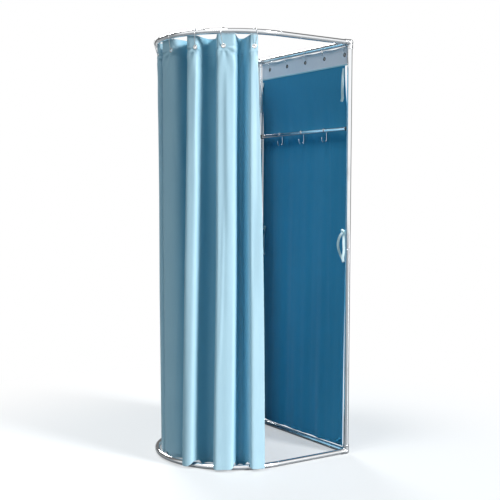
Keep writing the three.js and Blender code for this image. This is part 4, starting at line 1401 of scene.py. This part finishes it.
def floor_finish():
    """Pale floor, which fades to white for the camera away from the booth."""
    material, start = finish("pale_floor")
    place = start.node("ShaderNodeTexCoord", {}, {}, "Object")
    away = start.node("ShaderNodeVectorMath", {"operation": "LENGTH"}, {0: place}, "Value")
    seen = start.node("ShaderNodeLightPath", {}, {}, "Is Camera Ray")
    reflected = start.node("ShaderNodeLightPath", {}, {}, "Is Glossy Ray")
    aside = start.node("ShaderNodeVectorMath", {"operation": "DISTANCE"}, {0: place, 1: INSIDE}, "Value")
    pale = start.math("MAXIMUM", seen, 1 - aside.between(INSIDE_FROM, INSIDE_TO))
    colour = reflected.mix(pale.mix(FLOOR_BOUNCE, FLOOR), FLOOR_MIRRORED)
    shader = start.node("ShaderNodeBsdfPrincipled", {}, {"Base Color": colour, "Roughness": FLOOR_ROUGH})
    white = start.node("ShaderNodeEmission", {}, {"Color": WHITE, "Strength": 1.0})
    faded = (LEAST_WHITE + (1 - LEAST_WHITE) * away.between(FADE_FROM, FADE_TO)) * seen
    mixed = start.node("ShaderNodeMixShader", {}, {0: faded, 1: shader, 2: white})
    start.node("ShaderNodeOutputMaterial", {}, {"Surface": mixed})
    return material


floor.data.materials.append(floor_finish())
floor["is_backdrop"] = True

# Light: a bright lamp to the right of the camera as the key, a high fill that falls in over the rounded
# end, a weaker lamp on the covered side, and soft light all round. What the plating mirrors is bright
# in front of the booth and dark behind it.
LAMP_AWAY = 5.0         # along the floor, to each lamp
AMBIENT = 0.13
SKY = (0.26, 0.74, 1.0, 1)
KEY = {"energy": 4.0, "angle": math.radians(15)}
KEY_AZIMUTH, KEY_HEIGHT = 21, 2.2
FILL = {"energy": 1.4, "angle": math.radians(20)}
FILL_AZIMUTH, FILL_HEIGHT = -84, 12.4
SIDE = {"energy": 1.3, "angle": math.radians(20)}
SIDE_AZIMUTH, SIDE_HEIGHT = 165, 3.0
FRONT = -34             # degrees round from +X, where what the plating mirrors is bright
FRONT_EDGE = -0.20, 0.25
MIRRORED_DARK, MIRRORED_BRIGHT = 0.18, 1.1

world = bpy.data.worlds.new("studio")
world.use_nodes = True
world.node_tree.nodes.clear()
bpy.context.scene.world = world


def studio(start):
    """White for the camera, soft light from all round, and for reflections a bright and a dark side."""
    ray = start.node("ShaderNodeTexCoord", {}, {}, "Generated")
    camera_sees = start.node("ShaderNodeLightPath", {}, {}, "Is Camera Ray")
    gloss_sees = start.node("ShaderNodeLightPath", {}, {}, "Is Glossy Ray")
    toward = (math.cos(math.radians(FRONT)), math.sin(math.radians(FRONT)), 0)
    facing = start.node("ShaderNodeVectorMath", {"operation": "DOT_PRODUCT"}, {0: ray, 1: toward}, "Value")
    reflected = MIRRORED_DARK + (MIRRORED_BRIGHT - MIRRORED_DARK) * facing.between(*FRONT_EDGE)
    seen = start.math("MAXIMUM", camera_sees, gloss_sees)
    strength = AMBIENT * (1 - seen) + camera_sees + reflected * gloss_sees
    colour = seen.mix(SKY, WHITE)
    sky = start.node("ShaderNodeBackground", {}, {"Color": colour, "Strength": strength})
    start.node("ShaderNodeOutputWorld", {}, {"Surface": sky})


studio(Wire(world.node_tree))


def sun(name, azimuth, height, settings):
    """A sun that shines from an azimuth, in degrees from +X, and a height."""
    data = bpy.data.lights.new(name, "SUN")
    for label, value in settings.items():
        setattr(data, label, value)
    turn = math.radians(azimuth)
    away = Vector((LAMP_AWAY * math.cos(turn), LAMP_AWAY * math.sin(turn), height))
    lamp = bpy.data.objects.new(name, data)
    lamp.matrix_world = Matrix.Translation(away) @ away.to_track_quat("Z", "Y").to_matrix().to_4x4()
    bpy.context.scene.collection.objects.link(lamp)


sun("key", KEY_AZIMUTH, KEY_HEIGHT, KEY)
sun("fill", FILL_AZIMUTH, FILL_HEIGHT, FILL)
sun("side", SIDE_AZIMUTH, SIDE_HEIGHT, SIDE)

low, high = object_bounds()
